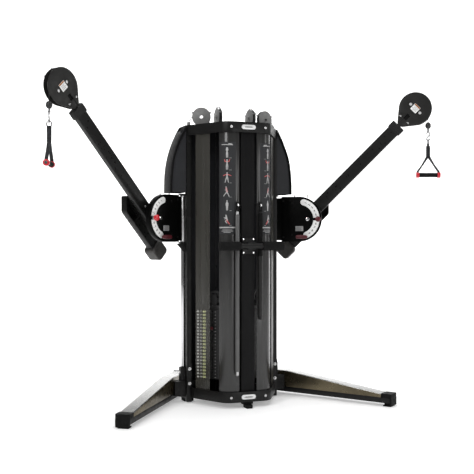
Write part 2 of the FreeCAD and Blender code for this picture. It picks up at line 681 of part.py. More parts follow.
def build_carriage(side):
    back = PLATE_FRONT + PLATE_THICK
    plate = d_shape(PLATE_RADIUS, PLATE_EDGE, (PLATE_FRONT, back))
    rim = d_shape(PLATE_RADIUS, PLATE_EDGE, (back, 24))
    rim = rim.cut(d_shape(PLATE_RADIUS - 5, PLATE_EDGE + 5, (back, 24)))
    rim = rim.cut(box((0, PLATE_EDGE + 6), (-100, 100), (0, 3000)))
    web = box((20, PLATE_EDGE + 30), (back, 2), (PIVOT_Z - 170, PIVOT_Z + 170))
    barrel_z = (1234.4, 1595.6)
    barrel = rod((0, 0, barrel_z[0]), (0, 0, barrel_z[1]), 24)
    spindle = rod((PIVOT_OUT, back, PIVOT_Z), (PIVOT_OUT, TAIL_BACK[1] + 1, PIVOT_Z), SPINDLE_RADIUS)
    nut = rod((PIVOT_OUT, TAIL_BACK[1] + 1, PIVOT_Z), (PIVOT_OUT, TAIL_BACK[1] + 10, PIVOT_Z), 33)
    tabs = []
    for out in (PIVOT_OUT - 34, PIVOT_OUT + 66):
        tabs.append(rod((out, PLATE_FRONT + 5, PIVOT_Z + 170), (out, PLATE_FRONT + 5, PIVOT_Z + 196), 4))
    shape = fuse(plate, rim, web, barrel, spindle, nut, *tabs)
    shape = shape.cut(rod((0, 0, 1200), (0, 0, 1620), POST_RADIUS + RUNNING))
    pin_at = PIVOT_OUT + PIN_RADIUS_AT
    shape = shape.cut(rod((pin_at, PLATE_FRONT, PIVOT_Z), (pin_at, back, PIVOT_Z), PIN_RADIUS + RUNNING))
    dot = rod((275, PLATE_FRONT, PIVOT_Z), (275, PLATE_FRONT - 8, PIVOT_Z), 14)
    keep_side("pivot_plate", side, place_carriage(shape), place_carriage(dot))
    stem = rod((pin_at, 1, PIVOT_Z), (pin_at, PLATE_FRONT - 2, PIVOT_Z), PIN_RADIUS)
    shank = rod((pin_at, PLATE_FRONT - 2, PIVOT_Z), (pin_at, PLATE_FRONT - 32, PIVOT_Z), 11)
    knob = rod((pin_at, PLATE_FRONT - 32, PIVOT_Z), (pin_at, PLATE_FRONT - 60, PIVOT_Z), 22)
    knob = knob.makeFillet(6, [e for e in knob.Edges if len(e.Vertexes) == 1])
    keep_side("pull_knob", side, place_carriage(fuse(stem, shank, knob)))
    build_lever(side)


def build_lever(side):
    """The swing release: a bar handle that turns on a pin low on the plate."""
    at, z = PIVOT_OUT + 24, PIVOT_Z - 142
    pin = rod((at, PLATE_FRONT - 1, z), (at, PLATE_FRONT - 16, z), 9)
    handle_y = (PLATE_FRONT - 40, PLATE_FRONT - 14)
    handle = rounded_block((at - 47, at + 47), handle_y, (z - 16, z + 16), 14, Y_AXIS)
    keep_side("swing_lever", side, place_carriage(fuse(pin, handle)))


# ---------- arm ----------

def place_arm(shape):
    """Sets a shape drawn about the pivot, +X along the arm, in its place on the right."""
    shape = shape.copy()
    shape.rotate(V(0, 0, 0), Y_AXIS, -ARM_ANGLE)
    shape.translate(V(PIVOT_OUT, 0, PIVOT_Z))
    return place_carriage(shape)


def arm_box(along, back, offset, height, radius):
    return rounded_block(along, back, (offset - height / 2, offset + height / 2), radius, X_AXIS)


def build_arm(side):
    front, rear = ARM_BACK - ARM_DEPTH / 2, ARM_BACK + ARM_DEPTH / 2
    tube_start = -70
    beam = arm_box((tube_start, ARM_END - 60), (front, rear), ARM_OFFSET, ARM_HEIGHT, 12)
    hollow = arm_box((110, ARM_END - 64), (front + 3, rear - 3), ARM_OFFSET, ARM_HEIGHT - 6, 9)
    collar = arm_box((ARM_END - 60, ARM_END), (front - 7, rear + 7), ARM_OFFSET, ARM_HEIGHT + 14, 14)
    disc = rod((0, 4, 0), (0, 12, 0), 168)
    hub = rod((0, 12, 0), (0, TAIL_BACK[1], 0), 42)
    boss = rod((0, rear, 0), (0, TAIL_BACK[1], 0), 55)
    tail = upright_prism(TAIL_OUTLINE, (8, 40, 6, 8, 8), TAIL_BACK)
    tail = tail.cut(upright_prism(TAIL_POCKET, (6, 32, 3, 2, 6), (TAIL_BACK[0] - 1, TAIL_BACK[1] - 6)))
    shape = fuse(beam.cut(hollow), collar, disc, hub, boss, tail)
    shape = shape.cut(rod((0, -10, 0), (0, 300, 0), SPINDLE_RADIUS + RUNNING))
    shape = shape.cut(rod((ARM_END - 66, ARM_BACK, ARM_OFFSET), (ARM_END + 1, ARM_BACK, ARM_OFFSET),
                          NECK_RADIUS + RUNNING))
    for i in range(-4, 5):
        angle = math.radians(15 * i - ARM_ANGLE)
        x, z = PIN_RADIUS_AT * math.cos(angle), PIN_RADIUS_AT * math.sin(angle)
        shape = shape.cut(rod((x, 0, z), (x, 20, z), 6.5))
    keep_side("arm_frame", side, place_arm(shape))
    weight = rounded_block((TAIL_START - WEIGHT_SIZE, TAIL_START), WEIGHT_BACK,
                           (WEIGHT_OFFSET - WEIGHT_SIZE / 2, WEIGHT_OFFSET + WEIGHT_SIZE / 2), 30, Y_AXIS)
    rims = [e for f in weight.Faces if abs(f.normalAt(0, 0).dot(Y_AXIS)) > 0.99 for e in f.Edges]
    keep_side("counterweight", side, place_arm(weight.makeFillet(12, rims)))


# ---------- head ----------

def place_head(shape):
    """Sets a shape drawn about the head wheel, +X along the arm, in its place on the right."""
    shape = shape.copy()
    shape.translate(V(HEAD_ALONG, ARM_BACK, ARM_OFFSET))
    return place_arm(shape)


def teardrop(y):
    """A round plate drawn out to a narrow tip towards the arm."""
    tip, small = 138, 42
    lean = math.acos((HEAD_RADIUS - small) / tip)
    c, s = math.cos(math.pi - lean), math.sin(math.pi - lean)
    big_top, big_low = V(HEAD_RADIUS * c, 0, HEAD_RADIUS * s), V(HEAD_RADIUS * c, 0, -HEAD_RADIUS * s)
    tip_top, tip_low = V(small * c - tip, 0, small * s), V(small * c - tip, 0, -small * s)
    wire = Part.Wire([Part.Arc(big_top, V(HEAD_RADIUS, 0, 0), big_low).toShape(),
                      Part.makeLine(big_low, tip_low),
                      Part.Arc(tip_low, V(-tip - small, 0, 0), tip_top).toShape(),
                      Part.makeLine(tip_top, big_top)])
    face = Part.Face(wire)
    face.translate(V(0, y[0], 0))
    return face.extrude(V(0, y[1] - y[0], 0))


def build_head(side):
    outer = GUARD_GAP + GUARD_THICK
    slot = box((-200, -69), (-40, 40), (-16, 16))
    plates = [teardrop((-outer, -GUARD_GAP)).cut(slot), teardrop((GUARD_GAP, outer)).cut(slot)]
    bridge = box((-172, -118), (-GUARD_GAP, GUARD_GAP), (-28, 28)).common(teardrop((-outer, outer)))
    neck = rod((-HEAD_ALONG + ARM_END - 58, 0, 0), (-170, 0, 0), NECK_RADIUS)
    axle = rod((0, -outer, 0), (0, outer, 0), 10)
    shape = fuse(*plates, bridge, neck, axle)
    for z in (-50, 50):
        shape = shape.cut(rod((0, -60, z), (0, 60, z), 12.5))
    bolts = []
    for x, z in ((-121, 41), (-121, -41)):
        bolts.append(rod((x, -outer - 5, z), (x, outer + 5, z), 7))
    keep_side("head_guard", side, place_head(fuse(shape, *bolts)))
    wheel = sheave(HEAD_PITCH, 26, 10 + RUNNING)
    wheel.rotate(V(0, 0, 0), Y_AXIS, 30)
    keep_side("head_pulley", side, place_head(wheel))


def handle_place(shape, side):
    """Sets a shape drawn below the end of the head wheel, with the handle's twist, in its place."""
    shape = shape.copy()
    shape.rotate(V(0, 0, 0), Z_AXIS, TWIST[side])
    out, z = head_centre()
    shape.translate(V(out + HEAD_PITCH, ARM_BACK, z))
    return place_carriage(shape)


def head_centre():
    angle = math.radians(ARM_ANGLE)
    out = PIVOT_OUT + HEAD_ALONG * math.cos(angle) - ARM_OFFSET * math.sin(angle)
    z = PIVOT_Z + HEAD_ALONG * math.sin(angle) + ARM_OFFSET * math.cos(angle)
    return out, z


def build_handle(side):
    cable = rod((0, 0, -BALL_DROP + BALL_RADIUS + 0.5), (0, 0, 0), CABLE_RADIUS)
    keep_side("pull_cable", side, handle_place(cable, side))
    stop = fuse(ball((0, 0, -BALL_DROP), BALL_RADIUS), rod((0, 0, -BALL_DROP), (0, 0, -HOOK_DROP), 5))
    keep_side("cable_stop", side, handle_place(stop, side))
    swivel = tube((0, 0, -HOOK_DROP - 20), (0, 0, -HOOK_DROP + 1), 9, 5 + RUNNING)
    swivel = fuse(swivel, rod((0, 0, -HOOK_DROP - 24), (0, 0, -HOOK_DROP - 19), 9))
    hook = link(HOOK_LENGTH, 34, HOOK_WIRE)
    hook.translate(V(0, 0, -HOOK_DROP - 20))
    keep_side("snap_hook", side, handle_place(fuse(swivel, hook), side))
    build_strap(side)


def build_strap(side):
    """The webbing handle: a ring on the hook, a flat strap, two legs and a rod that carries the grip."""
    ring_top = -HOOK_DROP - 20 - HOOK_LENGTH + 2 * HOOK_WIRE + 2 * RING_WIRE + RING_PLAY
    ring = link(48, 40, RING_WIRE)
    ring.rotate(V(0, 0, 0), Z_AXIS, 90)
    ring.translate(V(0, 0, ring_top))
    strap_top, fork = ring_top - 44, -GRIP_DROP + 112
    strap = box((-17, 17), (-3, 3), (fork - 4, strap_top))
    legs = []
    reach, drop = GRIP_HALF + 18, -GRIP_DROP
    for x in (-1, 1):
        points = [(0, fork + 6), (17, fork - 2), (reach + 2, drop + 34), (reach + 2, drop - 10),
                  (reach - 4, drop - 10), (reach - 4, drop + 31), (0, fork - 16), (0, fork + 6)]
        leg = Part.Face(Part.makePolygon([V(x * along, 0, z) for along, z in points]))
        legs.append(leg.extrude(V(0, 6, 0)).translated(V(0, -3, 0)))
    core = rod((-reach + 3, 0, -GRIP_DROP), (reach - 3, 0, -GRIP_DROP), 8)
    strap = fuse(ring, strap, *legs, core)
    keep_side("handle_strap", side, handle_place(strap, side))
    grip = rod((-GRIP_HALF, 0, -GRIP_DROP), (GRIP_HALF, 0, -GRIP_DROP), 17.5)
    ends = []
    for way in (-1, 1):
        ends.append(rod((way * GRIP_HALF, 0, -GRIP_DROP), (way * (GRIP_HALF + 12), 0, -GRIP_DROP), 22.5))
    grip = fuse(grip, *ends).cut(rod((-200, 0, -GRIP_DROP), (200, 0, -GRIP_DROP), 8 + RUNNING))
    keep_side("handle_grip", side, handle_place(grip, side))


# ---------- whole machine ----------

def build():
    build_bands()
    build_pillar()
    build_uprights()
    build_shrouds()
    build_rear_covers()
    build_legs()
    build_crossbeam()
    build_posts()
    build_bolts()
    build_grab_bar()
    build_hanging_bars()
    build_resting_plates()
    build_guide_rods()
    build_deck()
    build_top_cables()
    for side in ("left", "right"):
        build_stack(side)
        build_lift_cable(side)
        build_carriage(side)
        build_arm(side)
        build_head(side)
        build_handle(side)


def export():
    box_all = FreeCAD.BoundBox()
    for name, solids in nodes.items():
        shape = solids[0] if len(solids) == 1 else Part.makeCompound(solids)
        shape = shape.copy()
        shape.translate(V(0, -ORIGIN_Y, 0))
        if not shape.isValid() or any(not s.isClosed() for s in shape.Shells):
            print("NOT VALID", name)
        box_all.add(shape.BoundBox)
        shape.exportStep(f"parts/{name}.step")
    print(len(nodes), "nodes; box", box_all)


build()
export()
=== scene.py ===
import json
import math

import bmesh
import bpy
from mathutils import Matrix, Vector


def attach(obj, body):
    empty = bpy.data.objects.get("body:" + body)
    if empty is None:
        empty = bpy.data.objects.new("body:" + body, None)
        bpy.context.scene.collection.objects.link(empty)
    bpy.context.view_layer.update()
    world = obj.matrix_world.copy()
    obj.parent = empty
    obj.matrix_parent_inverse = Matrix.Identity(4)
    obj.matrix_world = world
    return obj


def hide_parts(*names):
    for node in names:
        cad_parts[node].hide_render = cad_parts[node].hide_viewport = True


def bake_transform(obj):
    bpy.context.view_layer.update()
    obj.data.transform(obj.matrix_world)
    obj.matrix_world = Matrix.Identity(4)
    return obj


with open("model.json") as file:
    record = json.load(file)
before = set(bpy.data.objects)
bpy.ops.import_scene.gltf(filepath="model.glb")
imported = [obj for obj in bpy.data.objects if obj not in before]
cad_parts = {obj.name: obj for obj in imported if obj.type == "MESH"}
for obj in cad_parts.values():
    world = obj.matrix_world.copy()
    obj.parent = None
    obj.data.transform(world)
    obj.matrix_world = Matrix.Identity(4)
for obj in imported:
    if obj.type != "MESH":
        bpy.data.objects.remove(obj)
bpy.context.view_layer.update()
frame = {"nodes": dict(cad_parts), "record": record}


body_of = {node: body for body, nodes in frame["record"]["behaviour"]["bodies"].items() for node in nodes}
SIDES = ("left", "right")

# ---------- places, in millimetres, in the same local frames as the CAD ----------


def turn(degrees, axis):
    return Matrix.Rotation(math.radians(degrees), 4, axis)


def shift(x, y, z):
    return Matrix.Translation((x, y, z))


TOWER = shift(0, -0.013, 0) @ Matrix.Scale(0.001, 4)
FLIP = Matrix.Scale(-1, 4, (1, 0, 0))
PIVOT_OUT, PIVOT_Z, PLATE_FRONT = 207, 1415, -18
PIN_OUT = PIVOT_OUT + 155
HEAD_ALONG, ARM_BACK, ARM_OFFSET = 1267, 107, -27
ARM_END = HEAD_ALONG - 184
POST, SWING, ARM_ANGLE, HEAD_PITCH = (382, 413), 31, 45, 100
CARRIAGE = TOWER @ shift(*POST, 0) @ turn(-SWING, "Z")
ARM = CARRIAGE @ shift(PIVOT_OUT, 0, PIVOT_Z) @ turn(-ARM_ANGLE, "Y")
HEAD = ARM @ shift(HEAD_ALONG, ARM_BACK, ARM_OFFSET)
SHARE = math.cos(math.radians(ARM_ANGLE))
HEAD_OUT = PIVOT_OUT + (HEAD_ALONG - ARM_OFFSET) * SHARE
HEAD_Z = PIVOT_Z + (HEAD_ALONG + ARM_OFFSET) * SHARE
TWIST = {"left": -38, "right": 10}
FACES_FRONT = turn(90, "X")


def handle_place(side):
    """Where the cable leaves the head wheel, turned as the handle hangs."""
    return CARRIAGE @ shift(HEAD_OUT + HEAD_PITCH, ARM_BACK, HEAD_Z) @ turn(TWIST[side], "Z")


def wheel_fall(centre, angle):
    """Plan point where a cable drops from the inner side of a deck wheel."""
    a = math.radians(angle)
    return Vector((centre[0] - SHEAVE_PITCH * math.cos(a), centre[1] - SHEAVE_PITCH * math.sin(a)))


SHEAVE_PITCH, CABLE_RADIUS, DECK_WHEEL_Z = 60, 3, 2196
OUTER_FALL = wheel_fall((262.5, 323), 22.2)
INNER_FALL = wheel_fall((134.3, 298.8), 93)
STACK_MIDDLE = (OUTER_FALL + INNER_FALL) / 2
FALL_LINE = OUTER_FALL - INNER_FALL
STACK = TOWER @ shift(*STACK_MIDDLE, 0) @ turn(math.degrees(math.atan2(FALL_LINE.y, FALL_LINE.x)), "Z")
FALL_HALF = FALL_LINE.length / 2
STACK_Z, PLATE_PITCH, PLATES, RESTING, YOKE_RISE = 190, 25, 21, 15, 96
PLATE_FACE = -48
PULL_CABLE, BALL_DROP, HOOK_DROP, GRIP_DROP, GRIP_HALF = 120, 136, 164, 528, 75
BADGE_Z = (82, 2091)
BAR_OUT, BAR_Y = 92, -6
GRAB_BAR_Y, GRAB_BAR_Z = -60, 1206

# ---------- procedural finishes ----------


def finish(name, color, rough, metal=0.0, vary=0.2, vary_scale=5.0, rough_vary=0.12, grain=(900, 0.0002),
           stretch=(1, 1, 1), speck=None, **sockets):
    """A material whose colour, roughness and fine relief all come from noise in object space."""
    made = bpy.data.materials.new(name)
    made.use_nodes = True
    nodes, links = made.node_tree.nodes, made.node_tree.links
    shader = nodes["Principled BSDF"]
    coords = nodes.new("ShaderNodeTexCoord")
    mapping = nodes.new("ShaderNodeMapping")
    mapping.inputs["Scale"].default_value = stretch
    links.new(coords.outputs["Object"], mapping.inputs["Vector"])

    def noise(scale, detail):
        node = nodes.new("ShaderNodeTexNoise")
        node.inputs["Scale"].default_value = scale
        node.inputs["Detail"].default_value = detail
        links.new(mapping.outputs["Vector"], node.inputs["Vector"])
        return node.outputs["Fac"]

    def ramp(source, low, high, start=0.3, end=0.7):
        node = nodes.new("ShaderNodeValToRGB")
        node.color_ramp.elements[0].position, node.color_ramp.elements[1].position = start, end
        node.color_ramp.elements[0].color, node.color_ramp.elements[1].color = (*low, 1), (*high, 1)
        links.new(source, node.inputs["Fac"])
        return node.outputs["Color"]

    dark = [c * (1 - vary) for c in color]
    light = [min(1, c * (1 + vary)) for c in color]
    tint = ramp(noise(vary_scale, 4), dark, light)
    if speck:
        speck_color, speck_scale, speck_share = speck
        mask = ramp(noise(speck_scale, 3), (0, 0, 0), (1, 1, 1), 1 - speck_share, 1.02 - speck_share)
        mix = nodes.new("ShaderNodeMix")
        mix.data_type = "RGBA"
        links.new(mask, mix.inputs["Factor"])
        links.new(tint, mix.inputs["A"])
        mix.inputs["B"].default_value = (*speck_color, 1)
        tint = mix.outputs["Result"]
    links.new(tint, shader.inputs["Base Color"])
    low, high = max(0.02, rough - rough_vary), min(1, rough + rough_vary)
    links.new(ramp(noise(vary_scale * 9, 5), (low,) * 3, (high,) * 3), shader.inputs["Roughness"])
    bump = nodes.new("ShaderNodeBump")
    bump.inputs["Distance"].default_value = grain[1]
    links.new(noise(grain[0], 2), bump.inputs["Height"])
    links.new(bump.outputs["Normal"], shader.inputs["Normal"])
    shader.inputs["Metallic"].default_value = metal
    for socket, value in sockets.items():
        shader.inputs[socket.replace("_", " ")].default_value = value
    return made


def woven(name, color, across, along):
    """Webbing: two crossed sets of threads and a little fuzz."""
    made = finish(name, color, 0.85, vary=0.35, vary_scale=60, grain=(1500, 0.0002))
    nodes, links = made.node_tree.nodes, made.node_tree.links
    coords = nodes["Texture Coordinate"]
    bump = nodes["Bump"]
    height = None
    for scale, direction in ((across, "X"), (along, "Z")):
        wave = nodes.new("ShaderNodeTexWave")
        wave.bands_direction = direction
        wave.inputs["Scale"].default_value = scale
        wave.inputs["Distortion"].default_value = 0.6
        links.new(coords.outputs["Object"], wave.inputs["Vector"])
        if height is None:
            height = wave.outputs["Fac"]
            continue
        both = nodes.new("ShaderNodeMath")
        both.operation = "MULTIPLY"
        links.new(height, both.inputs[0])
        links.new(wave.outputs["Fac"], both.inputs[1])
        height = both.outputs["Value"]
    links.new(height, bump.inputs["Height"])
    bump.inputs["Distance"].default_value = 0.0008
    return made


BLACK = finish("black_texture_coat", (0.006, 0.006, 0.0058), 0.42, vary=0.25, grain=(650, 0.0002),
               speck=((0.016, 0.016, 0.0155), 420, 0.4), Specular_IOR_Level=0.22)
PLATE_BLACK = finish("index_plate_black", (0.0016, 0.0016, 0.0016), 0.4, vary=0.3, grain=(900, 0.0001),
                     Specular_IOR_Level=0.06)
ARM_BLACK = finish("black_smooth_coat", (0.008, 0.008, 0.0078), 0.36, vary=0.2, grain=(1100, 0.0001),
                   Specular_IOR_Level=0.2)
PILLAR = finish("pillar_grey", (0.006, 0.006, 0.0063), 0.5, vary=0.1, stretch=(1, 1, 0.05), vary_scale=16,
                grain=(1000, 0.00005), Specular_IOR_Level=0.1)
GUARD = finish("head_guard_black", (0.014, 0.0138, 0.0132), 0.45, vary=0.2, grain=(800, 0.0002),
               Specular_IOR_Level=0.25)
COLLAR = finish("collar_grey", (0.018, 0.018, 0.018), 0.5, vary=0.12, grain=(900, 0.0002), Specular_IOR_Level=0.12)
RUBBER = finish("black_rubber", (0.004, 0.004, 0.004), 0.7, vary=0.3, grain=(500, 0.0003), Specular_IOR_Level=0.15)
GRIP = finish("grip_foam", (0.008, 0.008, 0.008), 0.8, vary=0.3, grain=(350, 0.0006), Specular_IOR_Level=0.1)
BAR_GREY = finish("bar_sleeve", (0.09, 0.09, 0.09), 0.3, vary=0.15, grain=(900, 0.0001), stretch=(1, 1, 0.05))
CHROME = finish("chrome", (0.72, 0.72, 0.73), 0.1, metal=1, vary=0.05, rough_vary=0.04, stretch=(1, 1, 0.1),
                grain=(700, 0.00002))
DARK_CHROME = finish("hook_chrome", (0.3, 0.3, 0.305), 0.2, metal=1, vary=0.2, rough_vary=0.05, grain=(700, 0.00003))
STEEL = finish("bright_steel", (0.62, 0.62, 0.62), 0.25, metal=1, vary=0.1, grain=(900, 0.00005))
BARREL = finish("satin_steel", (0.55, 0.55, 0.55), 0.28, metal=1, vary=0.08, stretch=(1, 1, 0.05),
                grain=(900, 0.00004))
SHROUD = finish("smoked_shroud", (0.024, 0.0238, 0.0232), 0.24, vary=0.22, vary_scale=12, stretch=(1, 1, 0.03),
                rough_vary=0.04, grain=(300, 0.00001), Specular_IOR_Level=0.5)
FILM = finish("placard_film", (0.03, 0.031, 0.033), 0.6, vary=0.1, vary_scale=12, stretch=(1, 1, 0.1),
              grain=(300, 0.00002), Specular_IOR_Level=0.2)
SIDE_SHROUD = finish("smoked_clear_shroud", (0.044, 0.042, 0.036), 0.3, vary=0.16, vary_scale=7,
                     stretch=(1, 1, 0.02), rough_vary=0.04, grain=(300, 0.00001), Alpha=0.8)
CLEAR = finish("clear_inner_face", (0.05, 0.048, 0.042), 0.3, vary=0.1, grain=(300, 0.00001), Alpha=0.04)
SHELL = finish("rear_shell", (0.006, 0.006, 0.0062), 0.5, vary=0.15, rough_vary=0.05, grain=(250, 0.00004),
               Specular_IOR_Level=0.08)
COWL = finish("cowl_panel", (0.021, 0.0217, 0.0245), 0.5, vary=0.1, rough_vary=0.04, grain=(200, 0.00002),
              Specular_IOR_Level=0.2)
CAST = finish("stack_iron", (0.016, 0.016, 0.016), 0.45, vary=0.4, grain=(300, 0.0004))
BRACKET = finish("bracket_paint", (0.17, 0.17, 0.167), 0.5, vary=0.12, vary_scale=30,
                 grain=(800, 0.0003))
NYLON = finish("pulley_nylon", (0.02, 0.02, 0.02), 0.4, vary=0.2, grain=(600, 0.0001))
CABLE = finish("cable_jacket", (0.012, 0.012, 0.012), 0.35, vary=0.2, grain=(1500, 0.0002), stretch=(1, 1, 0.3))
RED = finish("red_plastic", (0.55, 0.008, 0.02), 0.3, vary=0.12, vary_scale=30, grain=(1200, 0.0001),
             Coat_Weight=0.3)
DARK_RED = finish("dark_red_plastic", (0.07, 0.001, 0.006), 0.35, vary=0.2, vary_scale=30, grain=(1200, 0.0001))
HAMMERED = finish("hammered_cover", (0.03, 0.028, 0.026), 0.4, metal=0.1, vary=0.3, vary_scale=40,
                  grain=(130, 0.0006))
# The leg covers are one cover shown in two colours by facing: a lighter grey on the tops as painted light, and a
# darker brownish tone on the sides as painted reflection.
COVER_TOP_PAINTED_LIGHT = finish("polished_cover", (0.3, 0.3, 0.295), 0.25, metal=0.9, vary=0.05, vary_scale=3,
                  rough_vary=0.05, grain=(500, 0.00002))
COVER_SIDE_PAINTED_REFLECTION = finish("cover_side_painted_reflection", (0.1, 0.083, 0.052), 0.3, metal=0.8, vary=0.5, vary_scale=2.5,
                    rough_vary=0.06, grain=(500, 0.00002))
PRINT = finish("placard_print", (0.42, 0.42, 0.42), 0.6, vary=0.1, vary_scale=60, grain=(1500, 0.00004))
WHITE = finish("label_white", (0.85, 0.85, 0.84), 0.45, vary=0.04, vary_scale=60, grain=(1500, 0.00004))
# The yellow weight labels and the white plate marks glow: painted light that lifts them out of the shade inside the
# smoked shroud.
YELLOW_PAINTED_GLOW = finish("label_yellow_painted_glow", (0.85, 0.85, 0.42), 0.45, vary=0.06, vary_scale=60, grain=(1500, 0.00004),
                Emission_Color=(0.8, 0.85, 0.4, 1), Emission_Strength=1.9)
PLATE_WHITE_PAINTED_GLOW = finish("plate_mark_white_painted_glow", (0.85, 0.85, 0.8), 0.45, vary=0.06, vary_scale=60, grain=(1500, 0.00004),
                     Emission_Color=(0.8, 0.8, 0.75, 1), Emission_Strength=1.9)
SILVER = finish("badge_silver", (0.75, 0.75, 0.75), 0.35, metal=0.2, vary=0.05, vary_scale=60, grain=(900, 0.00005))
LABEL_GREY = finish("label_grey", (0.3, 0.3, 0.3), 0.5, vary=0.06, vary_scale=60, grain=(1500, 0.00004))
INK = finish("label_ink", (0.02, 0.02, 0.02), 0.5, vary=0.2, vary_scale=60, grain=(1500, 0.00004))
AMBER = finish("label_amber", (0.3, 0.11, 0.02), 0.5, vary=0.1, vary_scale=60, grain=(1500, 0.00004))
PINK = finish("figure_red", (0.6, 0.12, 0.12), 0.5, vary=0.1, vary_scale=60, grain=(1500, 0.00004))
WEBBING = woven("handle_webbing", (0.02, 0.021, 0.024), 260, 260)

# ---------- shapes, in millimetres ----------


def soften(bm, offset, segments=2, least=30):
    """Rounds every edge that turns by more than least degrees."""
    sharp = [e for e in bm.edges if e.is_manifold and e.calc_face_angle(0) > math.radians(least)]
    if sharp and offset:
        bmesh.ops.bevel(bm, geom=sharp, offset=offset, segments=segments, profile=0.5, affect="EDGES",
                        clamp_overlap=True)
    return bm


def block(x, y, z, corner=0, axis="Z", soft=1.0, segments=5):
    """A box between three spans, with the edges along one axis rounded by corner."""
    bm = bmesh.new()
    bmesh.ops.create_cube(bm, size=1)
    spans = [(min(r), max(r)) for r in (x, y, z)]
    for v in bm.verts:
        v.co = Vector([low + (v.co[i] + 0.5) * (high - low) for i, (low, high) in enumerate(spans)])
    if corner:
        index = "XYZ".index(axis)
        upright = [e for e in bm.edges
                   if abs((e.verts[0].co - e.verts[1].co)[index]) > 0.99 * e.calc_length()]
        bmesh.ops.bevel(bm, geom=upright, offset=corner, segments=segments, profile=0.5, affect="EDGES")
    return soften(bm, soft)


def slab(points, y0, y1, soft=0.5, segments=2):
    """A flat plate: an outline in X and Z, from y0 back to y1."""
    bm = bmesh.new()
    face = bm.faces.new([bm.verts.new((x, y0, z)) for x, z in points])
    back = bmesh.ops.extrude_face_region(bm, geom=[face])["geom"]
    for v in back:
        if isinstance(v, bmesh.types.BMVert):
            v.co.y = y1
    bmesh.ops.recalc_face_normals(bm, faces=bm.faces)
    return soften(bm, soft, segments, 40)


def arc(cx, cz, radius, start, end, steps):
    angles = [math.radians(start + (end - start) * i / steps) for i in range(steps + 1)]
    return [(cx + radius * math.cos(a), cz + radius * math.sin(a)) for a in angles]


def pill(x, z, half_width, half_height):
    r = half_height
    return arc(x + half_width - r, z, r, -90, 90, 12) + arc(x - half_width + r, z, r, 90, 270, 12)


def capsule(a, b, r):
    """Outline of a bar with round ends between two points of a plane."""
    angle = math.degrees(math.atan2(b[1] - a[1], b[0] - a[0]))
    return arc(b[0], b[1], r, angle - 90, angle + 90, 6) + arc(a[0], a[1], r, angle + 90, angle + 270, 6)


def lathe(profile, axis="Z", steps=48):
    """Turns a closed outline of (radius, height) points about an axis. Radius 0 makes a closed end."""
    bm = bmesh.new()
    rings = []
    for i in range(steps):
        a = 2 * math.pi * i / steps
        rings.append([bm.verts.new((r * math.cos(a), r * math.sin(a), h)) for r, h in profile])
    for i in range(steps):
        one, two = rings[i], rings[(i + 1) % steps]
        for j in range(len(profile)):
            k = (j + 1) % len(profile)
            if profile[j][0] < 1e-6 and profile[k][0] < 1e-6:
                continue
            bm.faces.new((one[j], two[j], two[k], one[k]))
    bmesh.ops.remove_doubles(bm, verts=bm.verts, dist=1e-4)
    bmesh.ops.dissolve_degenerate(bm, edges=bm.edges, dist=1e-4)
    bmesh.ops.recalc_face_normals(bm, faces=bm.faces)
    if axis == "Y":
        bm.transform(turn(90, "X"))
    if axis == "X":
        bm.transform(turn(90, "Y"))
    return bm


def pipe(points, radius, steps=14, closed=False):
    """A round bar along a line of points. A list of radii gives one for each point."""
    bm = bmesh.new()
    points = [Vector(p) for p in points]
    count = len(points)
    radii = radius if isinstance(radius, list) else [radius] * count
    rings, up = [], None
    for i, p in enumerate(points):
        before = points[i - 1] if i or closed else p
        after = points[(i + 1) % count] if i < count - 1 or closed else p
        along = (after - before).normalized()
        if up is None:
            up = along.orthogonal().normalized()
        up = (up - up.dot(along) * along).normalized()
        across = along.cross(up)
        rings.append([bm.verts.new(p + radii[i] * (math.cos(a) * up + math.sin(a) * across))
                      for a in (2 * math.pi * k / steps for k in range(steps))])
    for i in range(count if closed else count - 1):
        one, two = rings[i], rings[(i + 1) % count]
        for k in range(steps):
            m = (k + 1) % steps
            bm.faces.new((one[k], one[m], two[m], two[k]))
    if not closed:
        bm.faces.new(rings[0][::-1])
        bm.faces.new(rings[-1])
    bmesh.ops.recalc_face_normals(bm, faces=bm.faces)
    return bm


def number(text, size, depth=0.3):
    """Raised figures in the XZ plane, centred on the origin, that face -Y."""
    curve = bpy.data.curves.new("number", "FONT")
    curve.body, curve.size, curve.extrude = str(text), size, depth / 2
    curve.align_x, curve.align_y = "CENTER", "CENTER"
    curve.resolution_u = 3
    curve.offset = size * 0.015
    holder = bpy.data.objects.new("number", curve)
    bpy.context.scene.collection.objects.link(holder)
    solid = bpy.data.meshes.new_from_object(holder.evaluated_get(bpy.context.evaluated_depsgraph_get()))
    bm = bmesh.new()
    bm.from_mesh(solid)
    bm.transform(FACES_FRONT)
    bpy.data.objects.remove(holder)
    bpy.data.curves.remove(curve)
    bpy.data.meshes.remove(solid)
    return bm


class Piece:
    """Collects shapes into one object that rides on one body."""

    def __init__(self, name, body, *materials, side=None):
        self.name, self.body, self.materials, self.side = name, body, materials, side
        self.mesh = bmesh.new()

    def put(self, shape, place=TOWER, material=0, lettering=False):
        if self.side == "left":
            place = FLIP @ place
            if lettering:
                place = place @ FLIP
        shape.transform(place)
        if place.determinant() < 0:
            bmesh.ops.reverse_faces(shape, faces=shape.faces)
        for face in shape.faces:
            face.material_index = material
            face.smooth = True
        spare = bpy.data.meshes.new("spare")
        shape.to_mesh(spare)
        shape.free()
        self.mesh.from_mesh(spare)
        bpy.data.meshes.remove(spare)
        return self

    def done(self, slot, *replaced, ride=True):
        data = bpy.data.meshes.new(self.name)
        self.mesh.to_mesh(data)
        self.mesh.free()
        for made in self.materials:
            data.materials.append(made)
        data.set_sharp_from_angle(angle=math.radians(35))
        made = bpy.data.objects.new(self.name, data)
        bpy.context.scene.collection.objects.link(made)
        if ride:
            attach(made, self.body)
        if replaced:
            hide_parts(*replaced)
        return made


